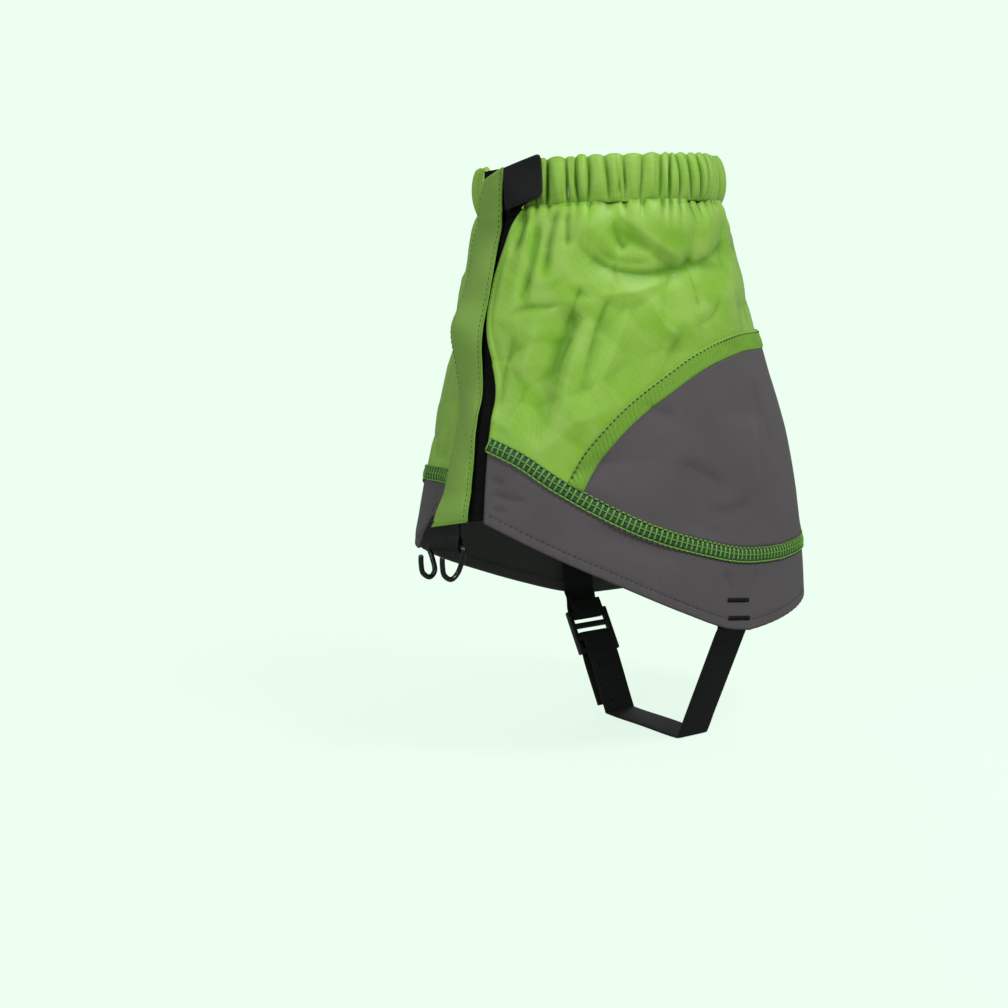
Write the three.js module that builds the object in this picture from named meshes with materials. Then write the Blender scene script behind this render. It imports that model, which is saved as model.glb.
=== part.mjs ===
// Ankle gaiter for a hiking boot, worn on the right foot.
//
// A tapered cloth wrap stands round the leg axis. It opens at the front: a placket flap with a hook strip
// closes over a loop strip, a cuff tab closes the elastic cuff, a wire hook grips the boot laces and an
// instep strap runs under the sole. Millimetres, +Z up, toe towards -Y, wearer's left towards +X.
// The origin is the centre of the underside of the instep strap.
//
// Places on the wrap are given as (angle, height, offset): the angle in degrees from the front (-Y)
// towards +X, the height above the ground, and the offset outwards from the outer face of the cloth.

import * as THREE from "three";

// ---- Driving dimensions ----
const GAP = 0.3; // clearance between pieces that touch edge to edge
const LAYER_GAP = 0.5; // clearance between one cloth and the next one over it
const LEG_AXIS_Y = -21; // the leg stands behind the toe side of the strap
const GROUND_EDGE_Z = 40; // height where the taper of the wrap begins
const GATHER_Z = 256; // stitch line under the elastic cuff
const CUFF_HEIGHT = 21;
const CUFF_HALF_WIDTH = 58.5;
const CUFF_HALF_DEPTH = 59.5;
const HEM_HALF_WIDTH = 71;
const HEM_HALF_DEPTH = 104.5;
const CLOTH = 1.0; // modelled thickness of one layer of cloth
const TRIM = 0.8; // modelled thickness of tapes and patches

const HEM_FRONT_Z = 119; // hem height beside the loop strip
const HEM_SIDE_Z = 57.3; // lowest point of the hem, where the strap leaves
const HEM_BACK_Z = 62;
const SEAM_FRONT_Z = 153; // middle of the flatlock seam beside the loop strip
const SEAM_BACK_Z = 90.3;
const SEAM_WIDTH = 7.2;
const RIGHT_FRONT_DROP = 16; // how much lower the seam and the hem are at the right front
const HEEL_TOP_Z = 187.5; // top of the heel panel at the back
const HEEL_START_ANGLE = 57; // where the heel panel's curve leaves the flatlock seam
const BINDING_WIDTH = 8.4;
const HEM_FACING_HEIGHT = 5.5;

const HINGE_ANGLE = -90; // the right front swings open about the wearer's right side
const PLACKET_WIDTH = 22;
const PLACKET_FOOT_Z = HEM_FRONT_Z - 2;
const PLACKET_TOP_Z = GATHER_Z + CUFF_HEIGHT - 2;
const PIPING = 1.4;
const LOOP_STRIP_UNDERLAP = 4; // degrees that the loop strip reaches under the cloth
const HOOK_STRIP_MARGIN = 2.6; // distance from the placket's edges to its hook strip

const ELASTIC_MARGIN = 2.5; // from the elastic's edges to the cuff's stitch line and top
const ELASTIC_THICKNESS = 1.5;
const TAB_LENGTH = 21; // degrees round the cuff
const TAB_HEIGHT = CUFF_HEIGHT - 2;

const STRAP_WIDTH = 18;
const STRAP_THICKNESS = 1.6;
const STRAP_PIVOT_Z = 57.5;
const SOLE_HALF_WIDTH = 31; // the strap's flat run under the sole
const SEWN_END_TOP_Z = 80;
const BAR_TACK_HEIGHTS = [72.8, 64.4];
const BAR_TACK_LENGTH = 13;
const BAR_TACK_HEIGHT = 2.4;
const STRAP_ANGLE = 102; // the strap's sewn ends sit at this angle on both sides

const BUCKLE_BAR = 3; // diameter of each cross bar
const BUCKLE_PITCH = 7; // from bar to bar
const BUCKLE_DROP = 10; // from the hem to the top bar
const BUCKLE_RAIL = 2.8;
const TAIL_LENGTH = 36; // free end of the strap, below its wrap bar

const WIRE = 2.4; // lace hook wire diameter
const HOOK_WEBBING_WIDTH = 19;
const HOOK_BAR_DROP = 10.5; // from the placket's foot to the hook's bar
const HOOK_TURN = 15.5; // degrees, the placket's foot faces a little to +X
const HOOK_DEPTH = 9.4; // from the legs to the prongs
const HOOK_DROP = 10.5; // from the bar to the bend's centre line
const PRONG_SPACING = 14;

const STEP = 6; // degrees between cross sections of the wrap

// ---- Materials ----
const finish = (color, roughness, metalness = 0) => ({ color, roughness, metalness });
const GREEN = finish(0x94c15a, 0.62);
const DULL_GREEN = finish(0x7a9b4d, 0.7);
const GREY = finish(0x686267, 0.85);
const THREAD_GREEN = finish(0x78b43c, 0.8);
const BLACK_LOOP = finish(0x0f0c19, 0.95);
const BLACK_WEB = finish(0x1c1c1c, 0.8);
const BLACK_TAB = finish(0x1b1a1c, 0.5);
const ELASTIC = finish(0xdedede, 0.8);
const BLACK_WIRE = finish(0x141416, 0.3, 0.8);
const PLASTIC = finish(0x161618, 0.45);

// ---- Small tools ----
const radians = (degrees) => (degrees * Math.PI) / 180;
const lerp = (a, b, share) => a + (b - a) * share;
const ramp = (value, from, to) => {
  const share = Math.min(1, Math.max(0, (value - from) / (to - from)));
  return share * share * (3 - 2 * share);
};

// A smooth function through a few [x, y] points.
function curveThrough(points) {
  const slope = (i) => {
    const before = points[Math.max(0, i - 1)];
    const after = points[Math.min(points.length - 1, i + 1)];
    return (after[1] - before[1]) / (after[0] - before[0]);
  };
  return (x) => {
    let i = 0;
    while (i < points.length - 2 && x > points[i + 1][0]) i += 1;
    const [x0, y0] = points[i];
    const [x1, y1] = points[i + 1];
    const width = x1 - x0;
    const s = (x - x0) / width;
    const bend0 = (2 * s ** 3 - 3 * s ** 2 + 1) * y0 + (s ** 3 - 2 * s ** 2 + s) * width * slope(i);
    const bend1 = (3 * s ** 2 - 2 * s ** 3) * y1 + (s ** 3 - s ** 2) * width * slope(i + 1);
    return bend0 + bend1;
  };
}

// A closed solid between an inner and an outer sheet of points: point(u, v, side), u and v from 0 to 1,
// side 0 on the inner face and 1 on the outer. Seen from outside, u runs to the right and v runs up.
function sheetSolid(columns, rows, point) {
  const corners = [];
  const faces = [];
  const index = (i, j, side) => (side * (rows + 1) + j) * (columns + 1) + i;
  for (const side of [0, 1]) {
    for (let j = 0; j <= rows; j += 1) {
      for (let i = 0; i <= columns; i += 1) corners.push(...point(i / columns, j / rows, side));
    }
  }
  const quad = (a, b, c, d) => faces.push(a, b, c, a, c, d);
  for (let j = 0; j < rows; j += 1) {
    for (let i = 0; i < columns; i += 1) {
      quad(index(i, j, 1), index(i + 1, j, 1), index(i + 1, j + 1, 1), index(i, j + 1, 1));
      quad(index(i, j, 0), index(i, j + 1, 0), index(i + 1, j + 1, 0), index(i + 1, j, 0));
    }
  }
  for (let i = 0; i < columns; i += 1) {
    quad(index(i, 0, 0), index(i + 1, 0, 0), index(i + 1, 0, 1), index(i, 0, 1));
    quad(index(i, rows, 1), index(i + 1, rows, 1), index(i + 1, rows, 0), index(i, rows, 0));
  }
  for (let j = 0; j < rows; j += 1) {
    quad(index(0, j, 0), index(0, j, 1), index(0, j + 1, 1), index(0, j + 1, 0));
    quad(index(columns, j, 1), index(columns, j, 0), index(columns, j + 1, 0), index(columns, j + 1, 1));
  }
  const geometry = new THREE.BufferGeometry();
  geometry.setAttribute("position", new THREE.Float32BufferAttribute(corners, 3));
  geometry.setIndex(faces);
  return geometry;
}

const model = new THREE.Group();

function add(name, geometry, material, parent = model) {
  geometry.computeVertexNormals();
  const mesh = new THREE.Mesh(geometry, new THREE.MeshStandardMaterial(material));
  mesh.name = name;
  parent.add(mesh);
  return mesh;
}

// ---- The wrap's own surface ----
// Share of the way from the cuff's size (0) to the hem's size (1), by height.
const widthTaper = (h) => 1 - h ** 1.8;
const depthTaper = curveThrough([[0, 1], [0.23, 0.99], [0.46, 0.81], [0.69, 0.456], [0.9, 0.144], [1, 0]]);

function wrapPoint(angle, z, offset) {
  const h = Math.min(1, Math.max(0, (z - GROUND_EDGE_Z) / (GATHER_Z - GROUND_EDGE_Z)));
  const halfWidth = lerp(CUFF_HALF_WIDTH, HEM_HALF_WIDTH, widthTaper(h)) + offset;
  const halfDepth = lerp(CUFF_HALF_DEPTH, HEM_HALF_DEPTH, depthTaper(h)) + offset;
  const a = radians(angle);
  return [halfWidth * Math.sin(a), LEG_AXIS_Y - halfDepth * Math.cos(a), z];
}

// Millimetres along the wrap for one degree.
function millimetresPerDegree(angle, z) {
  const p = wrapPoint(angle - 0.5, z, 0);
  const q = wrapPoint(angle + 0.5, z, 0);
  return Math.hypot(q[0] - p[0], q[1] - p[1]);
}

// Hem and flatlock seam heights, by angle: a share of the way down from the front to the lowest point.
const hemFall = curveThrough([[24, 0], [39, 0.16], [62, 0.455], [84, 0.77], [97, 0.94], [106, 1]]);
const seamFall = curveThrough([[24, 0], [37, 0.12], [50, 0.315], [62, 0.5], [76, 0.695], [91, 0.85],
  [105, 0.955], [122, 1]]);

function hemZ(angle) {
  const a = Math.abs(angle);
  if (a > 106) return lerp(HEM_SIDE_Z, HEM_BACK_Z, ramp(a, 106, 160));
  const front = HEM_FRONT_Z - RIGHT_FRONT_DROP * ramp(-angle, 2, 20);
  return lerp(front, HEM_SIDE_Z, Math.max(0, hemFall(Math.max(24, a))));
}

function seamZ(angle) {
  const a = Math.abs(angle);
  const front = angle > 0 ? SEAM_FRONT_Z : SEAM_FRONT_Z - RIGHT_FRONT_DROP;
  return a > 122 ? SEAM_BACK_Z : lerp(front, SEAM_BACK_Z, seamFall(Math.max(24, a)));
}

// Height of a curved edge over the heel: it leaves the seam at an angle and levels out at its top.
const heelRise = curveThrough([[0, 0], [0.03, 0.13], [0.07, 0.26], [0.17, 0.48], [0.3, 0.67], [0.5, 0.88],
  [0.75, 0.985], [1, 1]]);
const HEEL_LEVEL_ANGLE = 135; // beyond this angle the edge is level
const bindingStart = HEEL_START_ANGLE - (0.85 * BINDING_WIDTH)
  / millimetresPerDegree(HEEL_START_ANGLE, SEAM_BACK_Z);

function heelEdgeZ(angle, start, top) {
  const foot = seamZ(start) + SEAM_WIDTH / 2;
  const share = (Math.abs(angle) - start) / (HEEL_LEVEL_ANGLE - start);
  return lerp(foot, top, heelRise(Math.min(1, Math.max(0, share))));
}

// Front edges, as angles by height over the gather line's height.
const shellEdgeByHeight = curveThrough([[0.44, 27], [0.6, 25.3], [0.69, 23.5], [0.79, 15.2], [0.86, 12.4],
  [0.93, 14.6], [1, 21.4]]);
const shellEdge = (z) => shellEdgeByHeight(Math.min(1.08, z / GATHER_Z));

// The placket's sewn edge is straight in x, so that it can turn about one axis.
const SEWN_EDGE_FOOT_X = 1.8;
const SEWN_EDGE_TOP_X = -10.5;
function placketLeft(z) {
  const x = lerp(SEWN_EDGE_FOOT_X, SEWN_EDGE_TOP_X, (z - PLACKET_FOOT_Z) / (GATHER_Z - PLACKET_FOOT_Z));
  const halfWidth = wrapPoint(90, z, 0)[0];
  return (Math.asin(x / halfWidth) * 180) / Math.PI;
}

// ---- Panels of the wrap ----
// A layer of cloth between two edges (angles by height) and two heights (by angle).
function panel(edges, heights, offsets, rows) {
  const [from, to] = edges;
  const [low, high] = heights;
  const middle = (GATHER_Z + SEAM_FRONT_Z) / 2;
  const columns = Math.max(2, Math.round((to(middle) - from(middle)) / STEP));
  return sheetSolid(columns, rows, (u, v, side) => {
    const nominal = lerp(from(middle), to(middle), u);
    let z = lerp(low(nominal), high(nominal), v);
    const angle = lerp(from(z), to(z), u);
    z = lerp(low(angle), high(angle), v);
    return wrapPoint(angle, z, offsets[side]);
  });
}

const at = (value) => () => value;
const SPLIT = 0.15; // half the gap where one cloth is cut into two solids
const HINGE = 360 + HINGE_ANGLE; // the same angle, counted round the back
const splitAngle = (SPLIT / millimetresPerDegree(HINGE_ANGLE, GATHER_Z)) * 1.1;
const wrapAngle = (angle) => (angle > 180 ? angle - 360 : angle);
const seamAround = (angle) => seamZ(wrapAngle(angle));
const hemAround = (angle) => hemZ(wrapAngle(angle));
const heelAround = (angle) => heelEdgeZ(wrapAngle(angle), HEEL_START_ANGLE, HEEL_TOP_Z);
const bindingAround = (angle) => heelEdgeZ(wrapAngle(angle), bindingStart, HEEL_TOP_Z + BINDING_WIDTH);

const leftSpan = [shellEdge, at(HINGE - splitAngle)];
const rightFrontEdge = (z) => placketLeft(z) - 0.5;
const rightSpan = [at(HINGE_ANGLE + splitAngle), rightFrontEdge];
const SIDES = [
  { suffix: "", span: leftSpan },
  { suffix: "_right_front", span: rightSpan },
];
const clothLayer = [-CLOTH, 0];
const overLayer = [LAYER_GAP, LAYER_GAP + TRIM];
const underLayer = [-CLOTH - LAYER_GAP - TRIM, -CLOTH - LAYER_GAP];

for (const { suffix, span } of SIDES) {
  const above = (angle) => seamAround(angle) + SPLIT;
  const below = (angle) => seamAround(angle) - SPLIT;
  add(`upper_panel${suffix}`, panel(span, [above, at(GATHER_Z - SPLIT)], clothLayer, 8), GREEN);
  add(`skirt${suffix}`, panel(span, [hemAround, below], clothLayer, 3), GREY);

  const seamLow = (angle) => seamAround(angle) - SEAM_WIDTH / 2;
  const seamHigh = (angle) => seamAround(angle) + SEAM_WIDTH / 2;
  add(`flatlock_seam${suffix}`, panel(span, [seamLow, seamHigh], overLayer, 1), THREAD_GREEN);

  const facingTop = (angle) => hemAround(angle) + HEM_FACING_HEIGHT;
  const facingStart = (z) => span[0](z) + (suffix ? 0 : LOOP_STRIP_UNDERLAP + 0.5);
  add(`hem_facing${suffix}`, panel([facingStart, span[1]], [hemAround, facingTop], underLayer, 1), GREY);
}

// Heel panel, sewn over the upper above the flatlock seam, and the green tape that binds its curved edge.
// Their cross sections stand closer together near the curve's foot, where it is steep.
const overSeam = (angle) => seamAround(angle) + SEAM_WIDTH / 2 + GAP;
const HEEL_SHORTEST = 0.6; // height of the panel at its very corner

function heelLayer(from, to, low, high, rows) {
  const columns = Math.round(Math.abs(to - from) / STEP) + 6;
  const rising = from < 180;
  return sheetSolid(columns, rows, (u, v, side) => {
    const angle = rising ? lerp(from, to, u ** 1.5) : lerp(to, from, (1 - u) ** 1.5);
    return wrapPoint(angle, lerp(low(angle), high(angle), v), overLayer[side]);
  });
}

const panelTop = (angle) => Math.max(overSeam(angle) + HEEL_SHORTEST, heelAround(angle) - GAP);
const tapeLow = (angle) => Math.max(overSeam(angle), heelAround(angle));
const tapeHigh = (angle) => Math.max(tapeLow(angle) + HEEL_SHORTEST, bindingAround(angle));
const HEEL_SIDES = [
  { suffix: "", cut: HINGE - splitAngle, ends: (start, cut) => [start, cut] },
  { suffix: "_right_front", cut: HINGE + splitAngle, ends: (start, cut) => [cut, 360 - start] },
];
for (const { suffix, cut, ends } of HEEL_SIDES) {
  const [panelFrom, panelTo] = ends(HEEL_START_ANGLE + 0.6, cut);
  const [tapeFrom, tapeTo] = ends(bindingStart, cut);
  add(`heel_panel${suffix}`, heelLayer(panelFrom, panelTo, overSeam, panelTop, 5), GREY);
  add(`heel_binding${suffix}`, heelLayer(tapeFrom, tapeTo, tapeLow, tapeHigh, 1), GREEN);
}

// ---- Cuff ----
// A gathered tunnel, open at both ends, with the elastic inside. Its section is a ring of [offset, height]
// points: outer wall up, over the top and down the inner wall.
const CUFF_SECTION = [[-1.2, 0.02], [0.4, 0.14], [0.9, 0.5], [0.3, 0.82], [-1.8, 1], [-4.4, 0.96],
  [-5.2, 0.5], [-4.2, 0.06]];
const CUFF_WALL = 0.9;
const cuffMiddle = [-2.2, 0.5];

function cuffCasing(from, to) {
  const columns = Math.round((to - from) / STEP);
  const ring = CUFF_SECTION.map(([offset, share]) => [offset, GATHER_Z + SPLIT + share * CUFF_HEIGHT]);
  const centre = [cuffMiddle[0], GATHER_Z + cuffMiddle[1] * CUFF_HEIGHT];
  const inner = ring.map(([offset, z]) => {
    const pull = CUFF_WALL * 1.15;
    const towards = (value, middle, reach) => value - Math.sign(value - middle) * Math.min(pull, reach);
    return [towards(offset, centre[0], Math.abs(offset - centre[0]) * 0.4),
      towards(z, centre[1], Math.abs(z - centre[1]) * 0.4)];
  });
  const count = ring.length;
  const positions = [];
  const faces = [];
  for (let i = 0; i <= columns; i += 1) {
    const angle = lerp(from, to, i / columns);
    for (const loop of [ring, inner]) {
      for (const [offset, z] of loop) positions.push(...wrapPoint(angle, z, offset));
    }
  }
  const index = (i, layer, k) => (i * 2 + layer) * count + (k % count);
  const quad = (a, b, c, d) => faces.push(a, b, c, a, c, d);
  for (let k = 0; k < count; k += 1) {
    for (let i = 0; i < columns; i += 1) {
      quad(index(i, 0, k), index(i + 1, 0, k), index(i + 1, 0, k + 1), index(i, 0, k + 1));
      quad(index(i, 1, k), index(i, 1, k + 1), index(i + 1, 1, k + 1), index(i + 1, 1, k));
    }
    quad(index(0, 0, k), index(0, 0, k + 1), index(0, 1, k + 1), index(0, 1, k));
    quad(index(columns, 0, k), index(columns, 1, k), index(columns, 1, k + 1), index(columns, 0, k + 1));
  }
  const geometry = new THREE.BufferGeometry();
  geometry.setAttribute("position", new THREE.Float32BufferAttribute(positions, 3));
  geometry.setIndex(faces);
  return geometry;
}

// A plain band between two angles and two heights, between two offsets.
function band(from, to, low, high, offsets, rows = 1, step = STEP) {
  const columns = Math.max(2, Math.round((to - from) / step));
  return sheetSolid(columns, rows, (u, v, side) => {
    const angle = lerp(from, to, u);
    return wrapPoint(angle, lerp(low(angle), high(angle), v), offsets[side]);
  });
}

const CUFF_LEFT_START = 21;
const CUFF_RIGHT_END = -12;
const elasticLow = GATHER_Z + ELASTIC_MARGIN;
const elasticHigh = GATHER_Z + CUFF_HEIGHT - ELASTIC_MARGIN;
const elasticCentre = cuffMiddle[0] - 0.1;
const elasticLayer = [elasticCentre - ELASTIC_THICKNESS / 2, elasticCentre + ELASTIC_THICKNESS / 2];
const CUFF_SPANS = [
  { suffix: "", from: CUFF_LEFT_START, to: HINGE - splitAngle },
  { suffix: "_right_front", from: HINGE_ANGLE + splitAngle, to: CUFF_RIGHT_END },
];
for (const { suffix, from, to } of CUFF_SPANS) {
  add(`cuff_casing${suffix}`, cuffCasing(from, to), GREEN);
  const elastic = band(from, to, at(elasticLow), at(elasticHigh), elasticLayer);
  add(`cuff_elastic${suffix}`, elastic, ELASTIC);
}

// ---- Front closure ----
// The loop strip is sewn under the left front edge and reaches towards the right behind the placket.
const loopLayer = [-CLOTH - LAYER_GAP - 1.2, -CLOTH - LAYER_GAP];
const LOOP_STRIP_LEFT = -1.5;
const LOOP_STRIP_FOOT_Z = PLACKET_FOOT_Z - 1;
add("loop_strip", sheetSolid(4, 9, (u, v, side) => {
  const z = lerp(LOOP_STRIP_FOOT_Z + u * 3, GATHER_Z - SPLIT, v);
  const start = LOOP_STRIP_LEFT + 6 * ramp(z, LOOP_STRIP_FOOT_Z + 84, LOOP_STRIP_FOOT_Z + 4);
  return wrapPoint(lerp(start, shellEdge(z) + LOOP_STRIP_UNDERLAP, u), z, loopLayer[side]);
}), BLACK_LOOP);

// A patch of the same tape carries on over the left end of the cuff, and reaches nearly as far as the tab.
const cuffTop = GATHER_Z + CUFF_HEIGHT;
const cuffPatchLayer = [0.9 + GAP, 0.9 + GAP + TRIM];
const TAB_START = 14.5;
const tabEnd = TAB_START + TAB_LENGTH;
const cuffPatch = band(LOOP_STRIP_LEFT, tabEnd - 2, at(GATHER_Z + 1.5), at(cuffTop - 2), cuffPatchLayer, 1, 6);
add("cuff_loop_patch", cuffPatch, BLACK_LOOP);

// The placket lies over the strip; it stands further out at the cuff and at the lace hook's webbing.
const RISE = cuffPatchLayer[1] + 0.1;
const placketLift = (z) => RISE * Math.max(
  ramp(z, GATHER_Z - 9, GATHER_Z),
  ramp(z, PLACKET_FOOT_Z + 15, PLACKET_FOOT_Z + 3),
);
const FOOT_SLANT = 3.5; // the foot of the placket rises towards its closing edge, its top falls away
const TOP_SLANT = 4.5;
function placketZ(u, v) {
  return lerp(PLACKET_FOOT_Z - FOOT_SLANT * (0.6 - u), PLACKET_TOP_Z - TOP_SLANT * (1 - u), v);
}
function placketPoint(across, v, from, to, offset) {
  const z = placketZ(across, v);
  return wrapPoint(lerp(from(z), to(z), across), z, placketLift(z) + offset);
}
const PLACKET_ROWS = 16;
const mmToAngle = (length, z) => length / millimetresPerDegree(10, z);
const closingEdge = (z) => placketLeft(z) + mmToAngle(PLACKET_WIDTH, z);
const flapLayer = [GAP, GAP + CLOTH];
add("placket_flap", sheetSolid(4, PLACKET_ROWS, (u, v, side) => (
  placketPoint(u, v, placketLeft, closingEdge, flapLayer[side]))), DULL_GREEN);

// Piping runs up the closing edge of the flap, outside it.
const pipingStart = (z) => closingEdge(z) + mmToAngle(GAP, z);
const pipingEnd = (z) => closingEdge(z) + mmToAngle(GAP + PIPING, z);
add("placket_piping", sheetSolid(1, PLACKET_ROWS, (u, v, side) => {
  const z = placketZ(1, v);
  const angle = lerp(pipingStart(z), pipingEnd(z), u);
  return wrapPoint(angle, z, placketLift(z) + lerp(GAP - 0.1, GAP + CLOTH + 0.2, side));
}), GREEN);

// Hook strip on the flap's inner face, clear of the cloth's front edge and of the lace hook's webbing.
const HOOK_STRIP_FOOT_Z = PLACKET_FOOT_Z + 13;
const HOOK_STRIP_TOP_Z = GATHER_Z - 10;
const hookLayer = [GAP - LAYER_GAP - 0.9, GAP - LAYER_GAP + 0.1];
const hookStart = (z) => placketLeft(z) + mmToAngle(HOOK_STRIP_MARGIN, z);
const hookEnd = (z) => Math.min(
  closingEdge(z) - mmToAngle(HOOK_STRIP_MARGIN, z),
  shellEdge(z) - mmToAngle(1, z),
);
add("hook_strip", sheetSolid(3, 9, (u, v, side) => {
  const z = lerp(HOOK_STRIP_FOOT_Z, HOOK_STRIP_TOP_Z, v);
  return wrapPoint(lerp(hookStart(z), hookEnd(z), u), z, hookLayer[side]);
}), BLACK_LOOP);

// Cuff tab: lies over the placket's top corner and closes on the patch. It rises a little towards its end.
const TAB_TILT = 4.5;
const tabLow = (angle) => GATHER_Z + TAB_TILT * ((angle - TAB_START) / TAB_LENGTH) - 0.5;
const tabLayer = [RISE + GAP + CLOTH + LAYER_GAP, RISE + GAP + 2 * CLOTH + LAYER_GAP];
const tabPatchLayer = [tabLayer[0] - GAP - 1.2, tabLayer[0] - GAP];
const tabHigh = (angle) => tabLow(angle) + TAB_HEIGHT;
add("cuff_tab", band(TAB_START, tabEnd, tabLow, tabHigh, tabLayer, 1, 5), BLACK_TAB);
const tabPatchLow = (angle) => tabLow(angle) + 2.5;
const tabPatchHigh = (angle) => tabHigh(angle) - 2;
const tabPatch = band(TAB_START + 1, tabEnd - 1, tabPatchLow, tabPatchHigh, tabPatchLayer, 1, 5);
add("cuff_tab_hooks", tabPatch, BLACK_LOOP);

// ---- Lace hook ----
// Local frame: x along the hook's bar, y inwards to the boot, z up; the bar is the swing axis.
const hookAngle = (placketLeft(PLACKET_FOOT_Z) + closingEdge(PLACKET_FOOT_Z)) / 2;
const hookFoot = wrapPoint(hookAngle, PLACKET_FOOT_Z, 0);
const hookGroup = new THREE.Group();
hookGroup.position.set(hookFoot[0], hookFoot[1] - 0.2, PLACKET_FOOT_Z - HOOK_BAR_DROP);
hookGroup.rotation.z = radians(HOOK_TURN);
model.add(hookGroup);

function tubeAlong(points, diameter, steps, sides) {
  const corners = points.map((p) => new THREE.Vector3(...p));
  const spline = new THREE.CatmullRomCurve3(corners, false, "centripetal");
  const section = new THREE.Shape();
  for (let k = 0; k < sides; k += 1) {
    const a = (k / sides) * 2 * Math.PI;
    const p = [Math.cos(a) * diameter / 2, Math.sin(a) * diameter / 2];
    if (k === 0) section.moveTo(...p);
    else section.lineTo(...p);
  }
  section.closePath();
  return new THREE.ExtrudeGeometry(section, { steps, extrudePath: spline, bevelEnabled: false });
}

const legX = HOOK_WEBBING_WIDTH / 2 + GAP + WIRE / 2 + 0.3;
const prongX = PRONG_SPACING / 2;
const bend = HOOK_DEPTH / 2;
const halfWire = [
  [prongX, -HOOK_DEPTH, -3], [prongX, -HOOK_DEPTH - 0.2, -HOOK_DROP * 0.7],
  [prongX, -HOOK_DEPTH + 0.6, -HOOK_DROP - 1], [prongX, -bend, -HOOK_DROP - bend * 0.75],
  [prongX + 0.6, -0.9, -HOOK_DROP - 1], [legX - 1.4, 0, -HOOK_DROP * 0.55], [legX, 0, -2.2],
  [legX - 0.9, 0, -0.3], [legX - 3, 0, 0],
];
const wireRoute = [...halfWire.map(([x, y, z]) => [-x, y, z]), [0, 0, 0],
  ...[...halfWire].reverse()];
add("lace_hook", tubeAlong(wireRoute, WIRE, 56, 8), BLACK_WIRE, hookGroup);

// Webbing folded round the hook's bar and sewn behind the foot of the placket.
const loopInner = WIRE / 2 + 0.4;
const loopOuter = loopInner + 0.9;
const webbing = new THREE.Shape();
webbing.absarc(0, 0, loopOuter, Math.PI, 2 * Math.PI, false);
webbing.lineTo(loopOuter, 2);
webbing.lineTo(1, 5);
webbing.lineTo(1, 9.5);
webbing.lineTo(-1, 9.5);
webbing.lineTo(-1, 5);
webbing.lineTo(-loopOuter, 2);
webbing.closePath();
const eye = new THREE.Path();
eye.absarc(0, 0, loopInner, 0, 2 * Math.PI, true);
webbing.holes.push(eye);
const webbingSolid = new THREE.ExtrudeGeometry(webbing, {
  depth: HOOK_WEBBING_WIDTH, bevelEnabled: false, curveSegments: 5 });
webbingSolid.rotateY(Math.PI / 2);
webbingSolid.rotateX(Math.PI / 2);
webbingSolid.translate(-HOOK_WEBBING_WIDTH / 2, 0, 0);
add("hook_webbing", webbingSolid, BLACK_WEB, hookGroup);

// ---- Instep strap ----
// The strap hangs between two sewn ends behind the skirt and swings about the line through both. Its upper
// ends are round about that line, and the sewn ends are hollowed to clear them.
const halfStrap = STRAP_WIDTH / 2;
const ROUND_END = halfStrap + 0.6;
const behindFacing = -CLOTH - 2 * LAYER_GAP - TRIM; // offset of the nearest face a sewn end may have
const roundRise = (y, radius) => Math.sqrt(radius * radius - y * y);

// x of the wrap at a place along the foot.
function wrapX(y, z, offset) {
  const halfDepth = LEG_AXIS_Y - wrapPoint(0, z, offset)[1];
  return wrapPoint(90, z, offset)[0] * Math.sqrt(1 - ((y - LEG_AXIS_Y) / halfDepth) ** 2);
}
const strapX = wrapX(ROUND_END, STRAP_PIVOT_Z, behindFacing) - STRAP_THICKNESS / 2;

// The right run leans in by this angle; [inwards, up] from the right anchor gives a place along it.
const lean = Math.atan2(strapX - SOLE_HALF_WIDTH, STRAP_PIVOT_Z);
const onRightRun = (inwards, up) => new THREE.Vector2(
  -strapX + inwards * Math.cos(lean) - up * Math.sin(lean),
  STRAP_PIVOT_Z + inwards * Math.sin(lean) + up * Math.cos(lean),
);
const topBar = -BUCKLE_DROP;
const wrapBar = topBar - 2 * BUCKLE_PITCH;
const wrapRadius = BUCKLE_BAR / 2 + 0.2 + GAP + STRAP_THICKNESS / 2; // webbing's middle line round a bar
const HALF_TURN = [0, 45, 90, 135, 180].map(radians);

// Webbing bent along the [x, z] points of its middle line, its first end round if asked.
function strapSolid(line, roundFirst) {
  const rows = line.length - 1;
  const normalAt = (i) => {
    const before = line[Math.max(0, i - 1)];
    const after = line[Math.min(rows, i + 1)];
    return new THREE.Vector2(before.y - after.y, after.x - before.x).normalize();
  };
  return sheetSolid(6, rows, (u, v, side) => {
    const row = Math.round(v * rows);
    const y = lerp(-halfStrap, halfStrap, u);
    const reach = STRAP_THICKNESS * (0.5 - side);
    const rise = row === 0 && roundFirst ? roundRise(y, ROUND_END) : 0;
    const normal = normalAt(row);
    return [line[row].x + normal.x * reach, y, line[row].y + normal.y * reach + rise];
  });
}

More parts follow.
